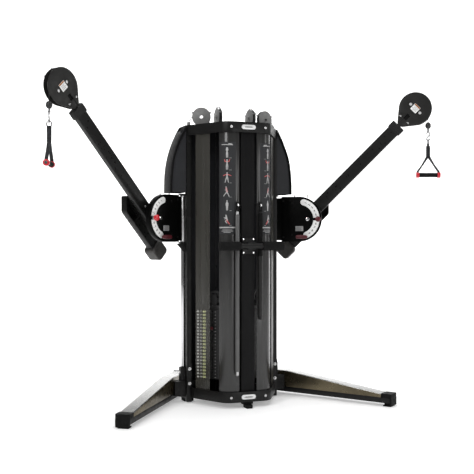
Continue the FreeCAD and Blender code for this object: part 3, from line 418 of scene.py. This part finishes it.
def refine(node, slot, *materials, width=1.2, segments=2, pick=None, least=30):
    """Stands a copy of a CAD node in its place, with its edges rounded and a finish for each region."""
    source = frame["nodes"][node]
    bm = bmesh.new()
    bm.from_mesh(source.data)
    bmesh.ops.remove_doubles(bm, verts=bm.verts, dist=2e-6)
    bmesh.ops.dissolve_limit(bm, angle_limit=math.radians(0.4), verts=bm.verts, edges=bm.edges)
    soften(bm, width / 1000, segments, least)
    bmesh.ops.triangulate(bm, faces=[f for f in bm.faces if len(f.verts) > 4])
    bm.normal_update()
    for face in bm.faces:
        face.smooth = True
        face.material_index = pick(face.calc_center_median(), face.normal) if pick else 0
    data = bpy.data.meshes.new(node + "_fine")
    bm.to_mesh(data)
    bm.free()
    for made in materials:
        data.materials.append(made)
    data.set_sharp_from_angle(angle=math.radians(35))
    made = bpy.data.objects.new(node + "_fine", data)
    bpy.context.scene.collection.objects.link(made)
    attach(made, body_of[node])
    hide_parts(node)
    return made


def paint(node, made):
    """Gives a CAD node that stays its finish."""
    shown = frame["nodes"][node]
    shown.data.materials.clear()
    shown.data.materials.append(made)


def local(place, side):
    """Turns a point of the model, in metres, into the local frame of a side, in millimetres."""
    inverse = place.inverted()
    return lambda p: inverse @ (FLIP @ p if side == "left" else p)


# ---------- tower ----------

FRONT_CORNER_X, FACET_END, CORNER_RADIUS = 176, (335, 280), 95
PLACARD_RADIUS = 84.5
CORNER_ANGLE = math.degrees(math.atan2(FACET_END[1], FACET_END[0] - FRONT_CORNER_X))
CORNER_START = FRONT_CORNER_X - CORNER_RADIUS * math.tan(math.radians(CORNER_ANGLE / 2))


def on_placard(s, lift):
    """Plan point on the placard, s outward of the middle of the tower's round corner."""
    r = PLACARD_RADIUS + lift
    half = PLACARD_RADIUS * math.radians(CORNER_ANGLE / 2)
    along = max(-half, min(half, s))
    phi = math.radians(CORNER_ANGLE / 2) + along / PLACARD_RADIUS
    x, y = CORNER_START + r * math.sin(phi), CORNER_RADIUS - r * math.cos(phi)
    rest = s - along
    return x + rest * math.cos(phi), y + rest * math.sin(phi)


def wrap(bm):
    """Bends a flat figure, drawn in X and Z with its face at negative Y, round the placard."""
    for v in bm.verts:
        x, y = on_placard(v.co.x, 0.4 - v.co.y)
        v.co.x, v.co.y = x, y
    return bm


def stroke(a, b, r):
    """A printed bar with round ends, cut into short lengths so that it follows the curve."""
    bm = slab(capsule(a, b, r), -0.6, 0, soft=0)
    first, last = min(a[0], b[0]) - r, max(a[0], b[0]) + r
    x = first + 6
    while x < last:
        bmesh.ops.bisect_plane(bm, geom=bm.verts[:] + bm.edges[:] + bm.faces[:], plane_co=(x, 0, 0),
                               plane_no=(1, 0, 0))
        x += 6
    return wrap(bm)


# Each figure: arms, then legs, each as (elbow or knee, hand or foot), in shares of its height,
# and which limbs are picked out in red.
FIGURE_Z = (1900, 1811, 1715, 1610, 1509, 1401)
FIGURES = (
    (((-.1, .72), (-.07, .95)), ((.1, .72), (.07, .95)), ((-.06, .25), (-.06, 0)), ((.06, .25), (.06, 0)), ()),
    (((-.2, .78), (-.26, .98)), ((.2, .78), (.26, .98)), ((-.07, .25), (-.06, 0)), ((.07, .25), (.06, 0)), (0, 1)),
    (((-.24, .72), (-.4, .66)), ((.24, .72), (.4, .66)), ((-.09, .25), (-.13, 0)), ((.12, .27), (.2, 0)), (0, 1)),
    (((.04, .6), (.2, .66)), ((-.02, .58), (.1, .5)), ((.16, .3), (.36, .04)), ((-.1, .25), (-.2, .02)), (4,)),
    (((-.11, .62), (-.1, .45)), ((.11, .62), (.1, .45)), ((-.05, .25), (-.05, 0)), ((.05, .25), (.05, 0)), ()),
    (((.16, .66), (.34, .72)), ((.1, .6), (.26, .56)), ((.18, .34), (.02, .16)), ((-.06, .3), (-.24, .06)), (3,)),
)


def build_figure(piece, z, tall, pose, lean):
    """A stick figure of round-ended bars, middle height z. Mark 4 is the trunk."""
    *limbs, marked = pose
    neck, hip = (lean * 0.2, 0.82), (0, 0.48)

    def at(p):
        return p[0] * tall, z + (p[1] - 0.5) * tall

    head = (neck[0] + lean * 0.05, 0.93)
    piece.put(stroke(at(head), at((head[0], 0.94)), 0.062 * tall))
    piece.put(stroke(at(neck), at(hip), 0.066 * tall), material=1 if 4 in marked else 0)
    for i, (joint, end) in enumerate(limbs):
        start = neck if i < 2 else hip
        side = (-1, 1, -1, 1)[i] * 0.05
        shade = 1 if i in marked else 0
        wide = (0.036, 0.05)[i > 1] * tall
        piece.put(stroke(at((start[0] + side, start[1] - (0.03 if i < 2 else 0))), at(joint), wide), material=shade)
        piece.put(stroke(at(joint), at(end), wide * 0.8), material=shade)


def build_placards():
    """Figures, ruled lines and bars on both placards, and plain bars on the two badges."""
    refine("label_plates", "label", FILM, SILVER, width=0.4,
           pick=lambda c, n: 1 if abs(c.x) < 0.06 and c.y < -0.012 else 0)
    for side in SIDES:
        art = Piece("placard_art_" + side, "frame", PRINT, PINK, side=side)
        for i, pose in enumerate(FIGURES):
            z = FIGURE_Z[i]
            build_figure(art, z, 74, pose, 0.4 if i in (3, 5) else 0)
            art.put(stroke((-34, z - 42), (-18, z - 42), 0.9))
        art.put(stroke((-42, 1955), (42, 1958), 2.6))
        art.put(stroke((-36, 1961), (-12, 1963), 3))
        art.put(stroke((-62, 1343), (62, 1343), 5))
        for z, half in ((1325, 38), (1316, 44), (1307, 26)):
            art.put(stroke((-half, z), (half, z), 1.6))
        art.done("label")
    trim = Piece("badge_trim", "frame", INK)
    for z in BADGE_Z:
        for dz in (-4, 0, 4):
            trim.put(slab(pill(0, z + dz, 36 - abs(dz) * 2, 1.1), -5.6, -4.9, soft=0.2))
    trim.done("label")


def build_bolts():
    """Button-head screws with hexagon sockets, on washers."""
    def screw(r, high):
        socket = r * 0.45
        return lathe([(0, high * 0.45), (socket, high * 0.45), (socket, high * 0.95), (r * 0.7, high),
                      (r * 0.93, high * 0.6), (r, high * 0.2), (r, 0), (0, 0)], steps=24)

    piece = Piece("frame_screws", "frame", STEEL, BLACK)
    places, blackened = [], []
    for z in BADGE_Z:
        places += [(shift(x, 0, z) @ turn(90, "X"), 6, 5) for x in (-137, 137)]
    for side in (-1, 1):
        for z in (150, 262):
            places.append((shift(side * 356, 326, z) @ turn(90, "X"), 9, 8))
        places.append((shift(side * 409, 413, 225) @ turn(side * 90, "Y"), 9, 7))
        blackened.append((shift(side * 361, 331.5, 2002) @ turn(90, "X"), 6, 5))
    for material, group in enumerate((places, blackened)):
        for place, r, high in group:
            washer = [(0, 1.2), (r + 3, 1.2), (r + 3.4, 0.6), (r + 3.4, 0), (0, 0)]
            piece.put(lathe(washer, steps=28), TOWER @ place, material)
            piece.put(screw(r, high), TOWER @ place, material)
    piece.done("chrome", "frame_bolts")
    joint = Piece("upright_joint", "frame", BLACK)
    for side in (-1, 1):
        for z in (1404, 1416):
            joint.put(block((side * 336, side * 376), (331, 385), (z, z + 8), corner=3, soft=0.8))
    joint.done("black_frame")


def build_cowl_rims():
    """A raised lip along the outer edge of each rear cowl."""
    rim = Piece("cowl_rims", "frame", SHELL)
    outer = [(508, 1613), (508, 1680), (506, 1723), (502, 1778), (493, 1850), (481, 1905), (467, 1945),
             (446, 1998), (420, 2052), (384, 2116)]
    for side in (-1, 1):
        line = [(side * (x - 9), 339, z) for x, z in outer]
        rim.put(pipe(line, 8.5, 16))
    rim.done("rear_shell")


def build_grab_bar():
    bar = Piece("grab_bar_fine", "frame", BLACK, CHROME)
    bar.put(lathe([(0, -246), (19, -246), (19, 246), (0, 246)], "X", 40), TOWER @ shift(0, GRAB_BAR_Y, GRAB_BAR_Z))
    bar.put(block((-48, 48), (3, 15), (1146, 1266), corner=8, axis="Y", soft=1.5))
    bar.put(block((-34, 34), (-62, 3), (1178, 1234), corner=10, axis="Y", soft=3))
    for x, z in ((-40, 1156), (40, 1156), (-40, 1256), (40, 1256)):
        bar.put(lathe([(0, 4), (4, 4), (7, 1), (7, 0), (0, 0)], steps=20), TOWER @ shift(x, 3, z) @ turn(90, "X"), 1)
    bar.done("black_frame", "grab_bar")
    grips = Piece("grab_grips_fine", "frame", GRIP)
    profile = [(19.2, 0), (29, 0), (32, 3)]
    for i in range(19):
        start = 8 + i * 8
        profile += [(33.5, start), (33.5, start + 5), (32.4, start + 6), (32.4, start + 7)]
    profile += [(33, 161), (30, 166), (0, 166), (0, 160), (19.2, 160)]
    for side in (-1, 1):
        outward = turn(0 if side > 0 else 180, "Z")
        grips.put(lathe(profile, "X", 40), TOWER @ shift(side * 88, GRAB_BAR_Y, GRAB_BAR_Z) @ outward)
    grips.done("black_rubber", "grab_grips")


def build_hanging_bars():
    """The long bar and the shorter one with a grip, each hung by a loop."""
    for name, side, low, grip_low, steel, sleeve_finish in (("long_bar", -1, 255, None, BARREL, BAR_GREY),
                                                            ("short_bar", 1, 665, 1130, COLLAR, GUARD)):
        bar = Piece(name + "_fine", name, steel, GRIP, sleeve_finish)
        here = TOWER @ shift(side * BAR_OUT, BAR_Y, 0)
        profile = [(0, low - 12), (6, low - 10.4), (10.4, low - 6), (12, low)]
        profile += [(12, 1440), (10.8, 1442), (10.8, 1446), (12, 1448), (12, 1460), (10, 1462), (0, 1462)]
        bar.put(lathe(profile, steps=36), here)
        for half in (-1, 1):
            bar.put(block((half * 6, half * 13), (-4, 4), (1456, 1530), soft=1.2), here, 1)
        bar.put(block((-7, 7), (-4, 4), (1515.4, 1530), soft=1), here, 1)
        bar.put(block((-7, 7), (-4, 4), (1456, 1474), soft=1), here, 1)
        if grip_low:
            rings = []
            for i in range(26):
                z = grip_low + 8 + i * 12
                rings += [(17.5, z), (17.5, z + 9), (16.7, z + 10), (16.7, z + 11)]
            bar.put(lathe([(12.1, grip_low), (16, grip_low), (17.5, grip_low + 3)] + rings
                          + [(17.5, 1446), (16, 1450), (12.1, 1450)], steps=32), here, 1)
        high = grip_low - 2 if grip_low else 1438
        sleeve = [(12.1, low + 20), (14.8, low + 20), (16, low + 23), (16, high - 3), (14.8, high), (12.1, high)]
        bar.put(lathe(sleeve, steps=32), here, 2)
        bar.done("chrome", name)


def build_tower():
    refine("top_band", "black_frame", BLACK, width=3, segments=3)
    refine("base_band", "black_frame", BLACK, width=3, segments=3)
    refine("centre_pillar", "black_frame", PILLAR, STEEL, width=1.5,
           pick=lambda c, n: 1 if abs(c.x) > 0.0855 and c.y < 0.0095 else 0)
    refine("uprights", "black_frame", BLACK, width=2)
    refine("crossbeam", "black_frame", BLACK, width=1.5)
    refine("front_shrouds", "smoked_shroud", SHROUD, width=1)
    refine("side_shrouds", "smoked_shroud", SIDE_SHROUD, CLEAR, width=1,
           pick=lambda c, n: 1 if n.x * math.copysign(1, c.x) < -0.5 else 0)
    refine("rear_covers", "rear_shell", SHELL, COWL, width=2.5, segments=3,
           pick=lambda c, n: 1 if n.y < -0.9 else 0)
    refine("leg_rails", "black_frame", BLACK, width=2)
    # Faces that look up take the lighter top colour, which is painted light. The rest take the darker brownish side
    # colour, which is painted reflection.
    refine("leg_covers", "polished_cover", COVER_SIDE_PAINTED_REFLECTION, COVER_TOP_PAINTED_LIGHT, width=1.5,
           pick=lambda c, n: 1 if n.z > 0.3 else 0)
    refine("feet_and_bumpers", "black_rubber", RUBBER, width=2.5, segments=3)
    refine("top_brackets", "pulley_bracket", BRACKET, width=0.7, least=50)
    refine("swing_posts", "chrome", CHROME, COLLAR, width=0.8,
           pick=lambda c, n: 1 if c.z < 0.2685 and math.hypot(abs(c.x) - 0.382, c.y - 0.4) > 0.0172 else 0)
    paint("top_cables", CABLE)
    paint("guide_rods", CHROME)
    build_placards()
    build_bolts()
    build_cowl_rims()
    build_grab_bar()
    build_hanging_bars()


# ---------- weight stacks ----------

def build_labels(piece, low, high):
    """Weight labels on the front edges of the plates from low up to high."""
    for i in range(low, high):
        z = STACK_Z + (i + 0.5) * PLATE_PITCH
        value = (PLATES - i) * 10
        piece.put(slab(pill(67, z, 13, 7), PLATE_FACE - 0.4, PLATE_FACE + 0.1, soft=0.1), STACK, 0)
        piece.put(number(value, 11), STACK @ shift(67, PLATE_FACE - 0.5, z), 2, lettering=True)
        piece.put(number(value // 2, 15), STACK @ shift(95, PLATE_FACE - 0.1, z), 1, lettering=True)
        piece.put(block((112, 127), (PLATE_FACE - 0.4, PLATE_FACE + 0.1), (z - 5, z + 5), soft=0), STACK, 1)
        for x in (-24, 24):
            mark = block((x - 5, x + 5), (PLATE_FACE - 0.3, PLATE_FACE + 0.1), (z - 2.5, z + 2.5), soft=0)
            piece.put(mark, STACK, 3)


def build_stack(side):
    paint("lifted_plates_" + side, CAST)
    labels = Piece("plate_labels_lifted_" + side, "stack_" + side, YELLOW_PAINTED_GLOW, PLATE_WHITE_PAINTED_GLOW, INK, LABEL_GREY,
                   side=side)
    build_labels(labels, RESTING, PLATES)
    labels.done("label")
    labels = Piece("plate_labels_resting_" + side, "frame", YELLOW_PAINTED_GLOW, PLATE_WHITE_PAINTED_GLOW, INK, LABEL_GREY,
                   side=side)
    build_labels(labels, 0, RESTING)
    labels.done("label")
    refine("stack_yoke_" + side, "stack_plate", CAST, width=1)
    for name in ("stack_pulley_", "outer_pulley_", "inner_pulley_"):
        refine(name + side, "pulley_wheel", NYLON, width=0.6, least=50)
    pin_z = STACK_Z + (RESTING + 0.5) * PLATE_PITCH
    pin = Piece("selector_pin_fine_" + side, "pin_" + side, STEEL, DARK_RED, side=side)
    here = STACK @ shift(0, PLATE_FACE, pin_z) @ turn(90, "X")
    pin.put(lathe([(0, -54), (3, -54), (5, -51), (5, 2), (0, 2)], steps=24), here)
    ribs = []
    for i in range(3):
        ribs += [(13, 4 + i * 4), (13, 6 + i * 4), (12, 6.6 + i * 4), (12, 7.4 + i * 4)]
    pin.put(lathe([(0, 2), (11, 2), (12.5, 3)] + ribs + [(12.6, 16), (10, 18), (0, 18)], steps=32), here, 1)
    pin.done("red_plastic", "selector_pin_" + side)
    build_lift_cable(side)


def build_lift_cable(side):
    """Two falls of wire rope from the top of the stack up to the deck wheels."""
    centre = STACK_Z + PLATES * PLATE_PITCH + YOKE_RISE
    top = DECK_WHEEL_Z - 66
    rope = Piece("lift_cable_fine_" + side, None, CABLE, side=side)
    for x in (-FALL_HALF, FALL_HALF):
        points = [(x, 0, centre + (top - centre) * i / 60) for i in range(61)]
        rope.put(pipe(points, CABLE_RADIUS), STACK)
    rope = rope.done("cable", "lift_cable_" + side, ride=False)
    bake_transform(rope)


# ---------- swing carriage ----------

def ring_sector(inner, outer, start, end):
    """Outline of part of a ring about the pivot, square at its start and round at its end."""
    middle, half = (inner + outer) / 2, (outer - inner) / 2
    points = arc(PIVOT_OUT, PIVOT_Z, outer, start, end, 28)
    a = math.radians(end)
    cx, cz = PIVOT_OUT + middle * math.cos(a), PIVOT_Z + middle * math.sin(a)
    way = 1 if end > start else -1
    points += arc(cx, cz, half, end, end + way * 180, 12)[1:-1]
    return points + arc(PIVOT_OUT, PIVOT_Z, inner, end, start, 28)


def build_carriage(side):
    """Hinge barrel and index plate, with its two scales, their numbers and a blank label."""
    to_local = local(CARRIAGE, side)

    def region(c, n):
        p = to_local(c)
        if math.hypot(p.x, p.y) < 25 and 1234 < p.z < 1596:
            return 1
        if math.hypot(p.x - 275, p.z - PIVOT_Z) < 15 and p.y < PLATE_FRONT - 0.5:
            return 2
        if math.hypot(p.x - PIVOT_OUT, p.z - PIVOT_Z) < 34 and p.y > 236:
            return 3
        return 0

    refine("pivot_plate_" + side, "black_frame", PLATE_BLACK, BARREL, CHROME, STEEL, width=1.2, pick=region)
    body = "carriage_" + side
    trim = Piece("carriage_trim_" + side, body, WHITE, INK, LABEL_GREY, BARREL, RUBBER, STEEL, side=side)
    front, figure_at, tick_from, tick_to = PLATE_FRONT, 140, 157, 162
    for start, end in ((5, 75), (-5, -65)):
        outline = ring_sector(115, 164, start, end)
        trim.put(slab(outline, front - 0.7, front + 0.2, soft=0.2), CARRIAGE, 0)
    for i, angle in enumerate((67, 54, 41, 28, 14, -15, -28, -41, -54)):
        a = math.radians(angle)
        spot = shift(PIVOT_OUT + figure_at * math.cos(a), front - 0.8, PIVOT_Z + figure_at * math.sin(a))
        tilt = turn(angle if side == "left" else -angle, "Y")
        trim.put(number(i + 1, 24), CARRIAGE @ spot @ tilt, 1, lettering=True)
        tick = capsule((PIVOT_OUT + tick_from * math.cos(a), PIVOT_Z + tick_from * math.sin(a)),
                       (PIVOT_OUT + tick_to * math.cos(a), PIVOT_Z + tick_to * math.sin(a)), 0.8)
        trim.put(slab(tick, front - 1, front - 0.6, soft=0), CARRIAGE, 1)
    plate = block((179, 241), (front - 0.8, front + 0.2), (PIVOT_Z - 96, PIVOT_Z - 56), corner=3, axis="Y", soft=0.2)
    trim.put(plate, CARRIAGE, 2)
    for i in range(4):
        z = PIVOT_Z - 64 - i * 8
        trim.put(slab(capsule((186, z), (232 - 9 * (i % 2), z), 1.2), front - 1.1, front - 0.7, soft=0), CARRIAGE, 1)
    for z, high in ((1235, 10), (1396, 4), (1404, 4), (1422, 4), (1430, 4), (1585, 10)):
        bush = [(17.3, z), (25.2, z), (25.8, z + 1), (25.8, z + high - 1), (25.2, z + high), (17.3, z + high)]
        trim.put(lathe(bush), CARRIAGE, 3)
    for x, z in ((80, 1560), (80, 1270), (150, 1545), (150, 1290)):
        screw = lathe([(0, 2.4), (4, 2.4), (4, 4.8), (6.5, 5), (8.4, 3), (8.6, 0), (0, 0)], steps=24)
        trim.put(screw, CARRIAGE @ shift(x, front, z) @ turn(90, "X"), 4)
    trim.put(block((PIN_OUT - 14, PIN_OUT + 14), (front - 2, front + 1), (PIVOT_Z - 14, PIVOT_Z + 14), corner=5,
                   axis="Y", soft=0.6), CARRIAGE, 4)
    trim.done("label")
    knob = Piece("pull_knob_fine_" + side, "knob_" + side, RED if side == "left" else DARK_RED, CHROME, side=side)
    here = CARRIAGE @ shift(PIN_OUT, PLATE_FRONT, PIVOT_Z) @ turn(90, "X")
    knob.put(lathe([(0, -19), (4, -19), (6, -17), (6, 2.4), (11, 2.4), (11, 31), (0, 31)], steps=32), here, 1)
    outline = [(0, 30), (17, 30), (21, 33), (22, 37), (20.6, 40), (20.6, 43), (22, 46), (22, 53), (19.5, 57.5),
               (15, 59.6), (9, 60), (8, 58.6), (0, 58.2)]
    knob.put(lathe(outline, steps=48), here, 0)
    knob.done("red_plastic", "pull_knob_" + side)
    build_lever(side)


def build_lever(side):
    """Swing release: a waisted dark-red paddle on a short pivot."""
    lever = Piece("swing_lever_fine_" + side, "lever_" + side, DARK_RED, STEEL, side=side)
    at, z = PIVOT_OUT + 24, PIVOT_Z - 142
    lever.put(lathe([(0, 0), (9, 0), (9, 16), (0, 16)], steps=28),
              CARRIAGE @ shift(at, PLATE_FRONT - 1, z) @ turn(90, "X"), 1)
    outline = [(at - 47, z - 8), (at - 38, z - 14), (at - 14, z - 15.5), (at + 16, z - 15.5), (at + 38, z - 13),
               (at + 47, z - 6), (at + 47, z + 6), (at + 38, z + 12), (at + 16, z + 15.5), (at - 14, z + 15.5),
               (at - 38, z + 14), (at - 47, z + 8)]
    lever.put(slab(outline, PLATE_FRONT - 40, PLATE_FRONT - 15, soft=5, segments=4), CARRIAGE)
    lever.put(slab(pill(at, z, 34, 5), PLATE_FRONT - 40.8, PLATE_FRONT - 38, soft=0.8), CARRIAGE)
    lever.done("red_plastic", "swing_lever_" + side)


# ---------- arm and head ----------

def build_arm(side):
    """Arm tube with its grey collar, rubber bands and screws, and the counterweight."""
    to_arm = local(ARM, side)
    refine("arm_frame_" + side, "black_frame", ARM_BLACK, COLLAR, BLACK, width=1.2,
           pick=lambda c, n: 1 if to_arm(c).x > HEAD_ALONG - 244.5 else (2 if to_arm(c).y < 13 else 0))
    refine("counterweight_" + side, "weight_cover", HAMMERED, width=2, segments=3, least=20)
    trim = Piece("arm_trim_" + side, "arm_" + side, RUBBER, STEEL, COLLAR, side=side)
    for x in (ARM_END - 46, ARM_END - 32, ARM_END - 18):
        band = block((x, x + 5), (ARM_BACK - 33, ARM_BACK + 33), (ARM_OFFSET - 58, ARM_OFFSET + 58), corner=14,
                     axis="X", soft=1.2)
        trim.put(band, ARM, 2)
    screw = [(0, 2), (3.4, 2), (3.4, 3.8), (6, 4), (7.6, 2.4), (7.8, 0), (0, 0)]
    for x in (-52, 150):
        trim.put(lathe(screw, steps=24), ARM @ shift(x, ARM_BACK - 25, ARM_OFFSET) @ turn(90, "X"), 1)
    trim.done("black_rubber")


def build_head(side):
    """Two guards round a wheel, each with a white label, two plugs and two screws."""
    refine("head_guard_" + side, "black_frame", GUARD, STEEL, width=1, least=45,
           pick=lambda c, n: 1 if abs(local(HEAD, side)(c).y) > 25.5 else 0)
    refine("head_pulley_" + side, "pulley_wheel", NYLON, width=0.8, least=50)
    label = Piece("head_label_" + side, "head_" + side, WHITE, AMBER, LABEL_GREY, SILVER, RUBBER, side=side)
    for face in (-1, 1):
        here = HEAD @ turn(0 if face < 0 else 180, "Z")
        label.put(block((-29, 29), (-26, -24.8), (-29, 29), corner=3, axis="Y", soft=0.2), here)
        label.put(block((17, 28), (-26.5, -25.5), (-27, 27), soft=0.1), here, 1)
        for z in (-50, 50):
            label.put(lathe([(0, 21), (8, 21), (11, 20), (12.3, 18), (12.3, 16), (0, 16)], steps=32),
                      here @ shift(0, 0, z) @ turn(90, "X"), 3)
        label.put(block((-118, -66), (-17.5, -16.5), (-17, 17), soft=0.2), here, 4)
        for i in range(4):
            label.put(block((8 - i * 9, 11 - i * 9), (-26.4, -25.5), (-22, 22 - 8 * (i % 2)), soft=0.1), here, 2)
        for x, z in ((-121, 41), (-121, -41)):
            label.put(lathe([(0, 5), (4, 5), (6.4, 3), (6.8, 0), (0, 0)], steps=24),
                      here @ shift(x, -25, z * face) @ turn(90, "X"), 2)
    label.done("label")


def build_handle(side):
    """Everything below the head: cable, stop and snap hook, then the strap."""
    place = handle_place(side)
    cable = Piece("pull_cable_fine_" + side, None, CABLE, side=side)
    cable.put(pipe([(0, 0, -PULL_CABLE * i / 24) for i in range(25)], CABLE_RADIUS), place)
    cable = cable.done("cable", "pull_cable_" + side, ride=False)
    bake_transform(cable)
    stop = Piece("cable_stop_fine_" + side, "stop_" + side, CABLE, DARK_CHROME, side=side)
    ball = [(23 * math.sin(a), -BALL_DROP + 27 * math.cos(a)) for a in (math.pi * i / 18 for i in range(19))]
    seam = [(r - (0.7 if abs(z + BALL_DROP) < 1.5 else 0), z) for r, z in ball]
    stop.put(lathe(seam), place)
    stop.put(lathe([(0, -158), (7, -158), (7, -161), (5, -161.5), (5, -164), (0, -164)], steps=28), place, 1)
    stop.done("black_rubber", "cable_stop_" + side)
    hook = Piece("snap_hook_fine_" + side, "hook_" + side, DARK_CHROME, STEEL, side=side)
    hook.put(lathe([(5.1, -163), (8, -163), (9, -165), (9, -184), (8, -188), (0, -188), (0, -184.4), (5.1, -184.4)],
                   steps=32), place)
    loop = arc(0, -201, 12.5, -20, 180, 14)[::-1] + arc(0, -241, 12.5, -180, 20, 16)
    hook.put(pipe([(x, 0, z) for x, z in loop], [3.6] + [4.5] * (len(loop) - 2) + [3.2]), place)
    hook.put(pipe([(13.3, 0, -204), (13.6, 0, -220), (12.8, 0, -238)], 3.4), place, 1)
    hook.put(lathe([(0, -5), (4.6, -5), (5, -4), (5, 4), (4.6, 5), (0, 5)], "Y", 20), place @ shift(13, 0, -204), 1)
    hook.done("chrome", "snap_hook_" + side)
    build_strap(side, place)


def build_strap(side, place):
    """Ring, folded webbing with stitches, two legs, and the grip between them."""
    ring_top = -HOOK_DROP - 76.6
    strap = Piece("handle_strap_fine_" + side, "strap_" + side, WEBBING, DARK_CHROME, INK, side=side)
    centre = ring_top - 20
    loop = arc(0, centre, 16, 0, 180, 18) + arc(0, centre - 8, 16, 180, 360, 18)
    strap.put(pipe([(0, x, z) for x, z in loop], 4, closed=True), place, 1)
    drop = -GRIP_DROP
    fork, top = drop + 148, ring_top - 44
    fold = [(3, fork - 6)] + arc(0, top + 3, 7.4, 0, 180, 10) + [(-3, fork - 6)]
    inner = [(y * 0.5, z - 1) for y, z in fold[::-1]]
    band = bmesh.new()
    ends = []
    for y in (-15, 15):
        ends.append([band.verts.new((x, y, z)) for x, z in fold + inner])
    count = len(ends[0])
    for i in range(count):
        k = (i + 1) % count
        band.faces.new((ends[0][i], ends[0][k], ends[1][k], ends[1][i]))
    half = len(fold)
    for end in ends:
        for i in range(half - 1):
            band.faces.new([end[i], end[i + 1], end[count - 2 - i], end[count - 1 - i]])
    bmesh.ops.recalc_face_normals(band, faces=band.faces)
    strap.put(band, place)
    strap.put(block((-16, 16), (-12, 12), (fork - 6, top - 14), corner=9, soft=2), place)
    reach = GRIP_HALF + 18
    for way in (-1, 1):
        outer = [(0, fork + 8), (13, fork + 2), (reach * 0.5 + 4, fork - 66), (reach - 4, drop + 30),
                 (reach, drop - 6)]
        inside = [(reach - 14, drop - 6), (reach - 18, drop + 26), (reach * 0.5 - 9, fork - 66), (0, fork - 12)]
        leg = slab([(way * x, z) for x, z in outer + inside], -12, 12, soft=3)
        strap.put(leg, place)
        strap.put(lathe([(0, 0), (9, 0), (11, 1.5), (11, 3), (0, 3)], "X", 24),
                  place @ shift(way * (reach + 2), 0, drop) @ turn(0 if way > 0 else 180, "Z"), 1)
    for z in (top - 22, top - 34, fork + 22, fork + 10):
        for face in (-1, 1):
            for i in range(-2, 3):
                stitch = block((i * 4.4 - 1.5, i * 4.4 + 1.5), (face * 12.4, face * 11.4), (z - 0.5, z + 0.5), soft=0)
                strap.put(stitch, place, 2)
    axle = lathe([(0, -reach + 3), (8, -reach + 3), (8, reach - 3), (0, reach - 3)], "X", 28)
    strap.put(axle, place @ shift(0, 0, drop), 1)
    strap.done("webbing", "handle_strap_" + side)
    grip = Piece("handle_grip_fine_" + side, "grip_" + side, GRIP, RED, side=side)
    ribs = []
    for i in range(18):
        x = -70 + i * 8
        ribs += [(17.5, x), (17.5, x + 5), (16.4, x + 6), (16.4, x + 7)]
    grip.put(lathe([(8.1, -GRIP_HALF), (16.5, -GRIP_HALF)] + ribs + [(16.5, GRIP_HALF), (8.1, GRIP_HALF)], "X", 36),
             place @ shift(0, 0, drop))
    for way in (-1, 1):
        cap = [(8.1, 72), (20, 72), (22.5, 75), (22.5, 92), (20.5, 96), (8.1, 97)]
        grip.put(lathe([(r, way * x) for r, x in cap], "X", 40), place @ shift(0, 0, drop), 1)
    grip.done("red_plastic", "handle_grip_" + side)


# ---------- stage ----------

def build_stage():
    """A pale floor that curves up into a backdrop behind the part."""
    floor = bmesh.new()
    profile = [(-14, 0), (-4, 0), (4, 0)] + [(4 + 3 * math.sin(a), 3 - 3 * math.cos(a))
                                             for a in (math.pi / 2 * i / 12 for i in range(1, 13))] + [(7, 12)]
    rows = [[floor.verts.new((x, y, z)) for x in (-16, 16)] for y, z in profile]
    for one, two in zip(rows, rows[1:]):
        floor.faces.new((one[0], one[1], two[1], two[0]))
    data = bpy.data.meshes.new("floor")
    floor.to_mesh(data)
    for polygon in data.polygons:
        polygon.use_smooth = True
    pale = finish("pale_floor", (0.9, 0.9, 0.9), 0.8, vary=0.01, vary_scale=1, rough_vary=0.05, grain=(60, 0.0001),
                  Specular_IOR_Level=0.1, Emission_Color=(1, 1, 1, 1), Emission_Strength=0.3)
    data.materials.append(pale)
    stage = bpy.data.objects.new("floor", data)
    stage.rotation_euler = (0, 0, math.radians(-21))
    bpy.context.scene.collection.objects.link(stage)


def area_light(name, place, aim, size, power):
    light = bpy.data.lights.new(name, "AREA")
    light.shape, light.size, light.size_y, light.energy = "RECTANGLE", size[0], size[1], power
    lamp = bpy.data.objects.new(name, light)
    lamp.location = place
    lamp.rotation_euler = (Vector(aim) - Vector(place)).to_track_quat("-Z", "Y").to_euler()
    bpy.context.scene.collection.objects.link(lamp)


def build_lights():
    world = bpy.data.worlds.new("studio")
    bpy.context.scene.world = world
    world.use_nodes = True
    back = world.node_tree.nodes["Background"]
    back.inputs["Color"].default_value = (1, 1, 1, 1)
    back.inputs["Strength"].default_value = 0.16
    bpy.context.scene.view_settings.view_transform = "Standard"
    area_light("key", (-5.5, -4, 4.6), (0, 0, 1.2), (2.5, 3), 200)
    area_light("fill", (5.5, -3.4, 3.0), (0, 0, 1.2), (1.2, 3), 70)
    area_light("strip", (1.33, -3.74, 1.4), (-0.1, 0, 1.2), (0.5, 3), 22)
    area_light("top", (0, 0, 5.5), (0, 0.2, 0), (5, 4), 150)
    area_light("backdrop", (1, 2.5, 4.5), (2.5, 7, 1.5), (6, 2), 350)


def build_camera():
    """The photographer's place: left of centre, level, a little below the pivots."""
    camera = bpy.data.cameras.new("camera")
    camera.lens, camera.sensor_width = 64.0, 36
    eye = bpy.data.objects.new("camera", camera)
    eye.location = (-2.33, -5.841, 1.28)
    heading = Vector((math.sin(math.radians(21)), math.cos(math.radians(21)), 0))
    eye.rotation_euler = heading.to_track_quat("-Z", "Y").to_euler()
    camera.shift_y = -1 / 474
    bpy.context.scene.collection.objects.link(eye)
    bpy.context.scene.camera = eye


build_tower()
paint("resting_plates", CAST)
for side in SIDES:
    build_stack(side)
    build_carriage(side)
    build_arm(side)
    build_head(side)
    build_handle(side)
build_stage()
build_lights()
build_camera()
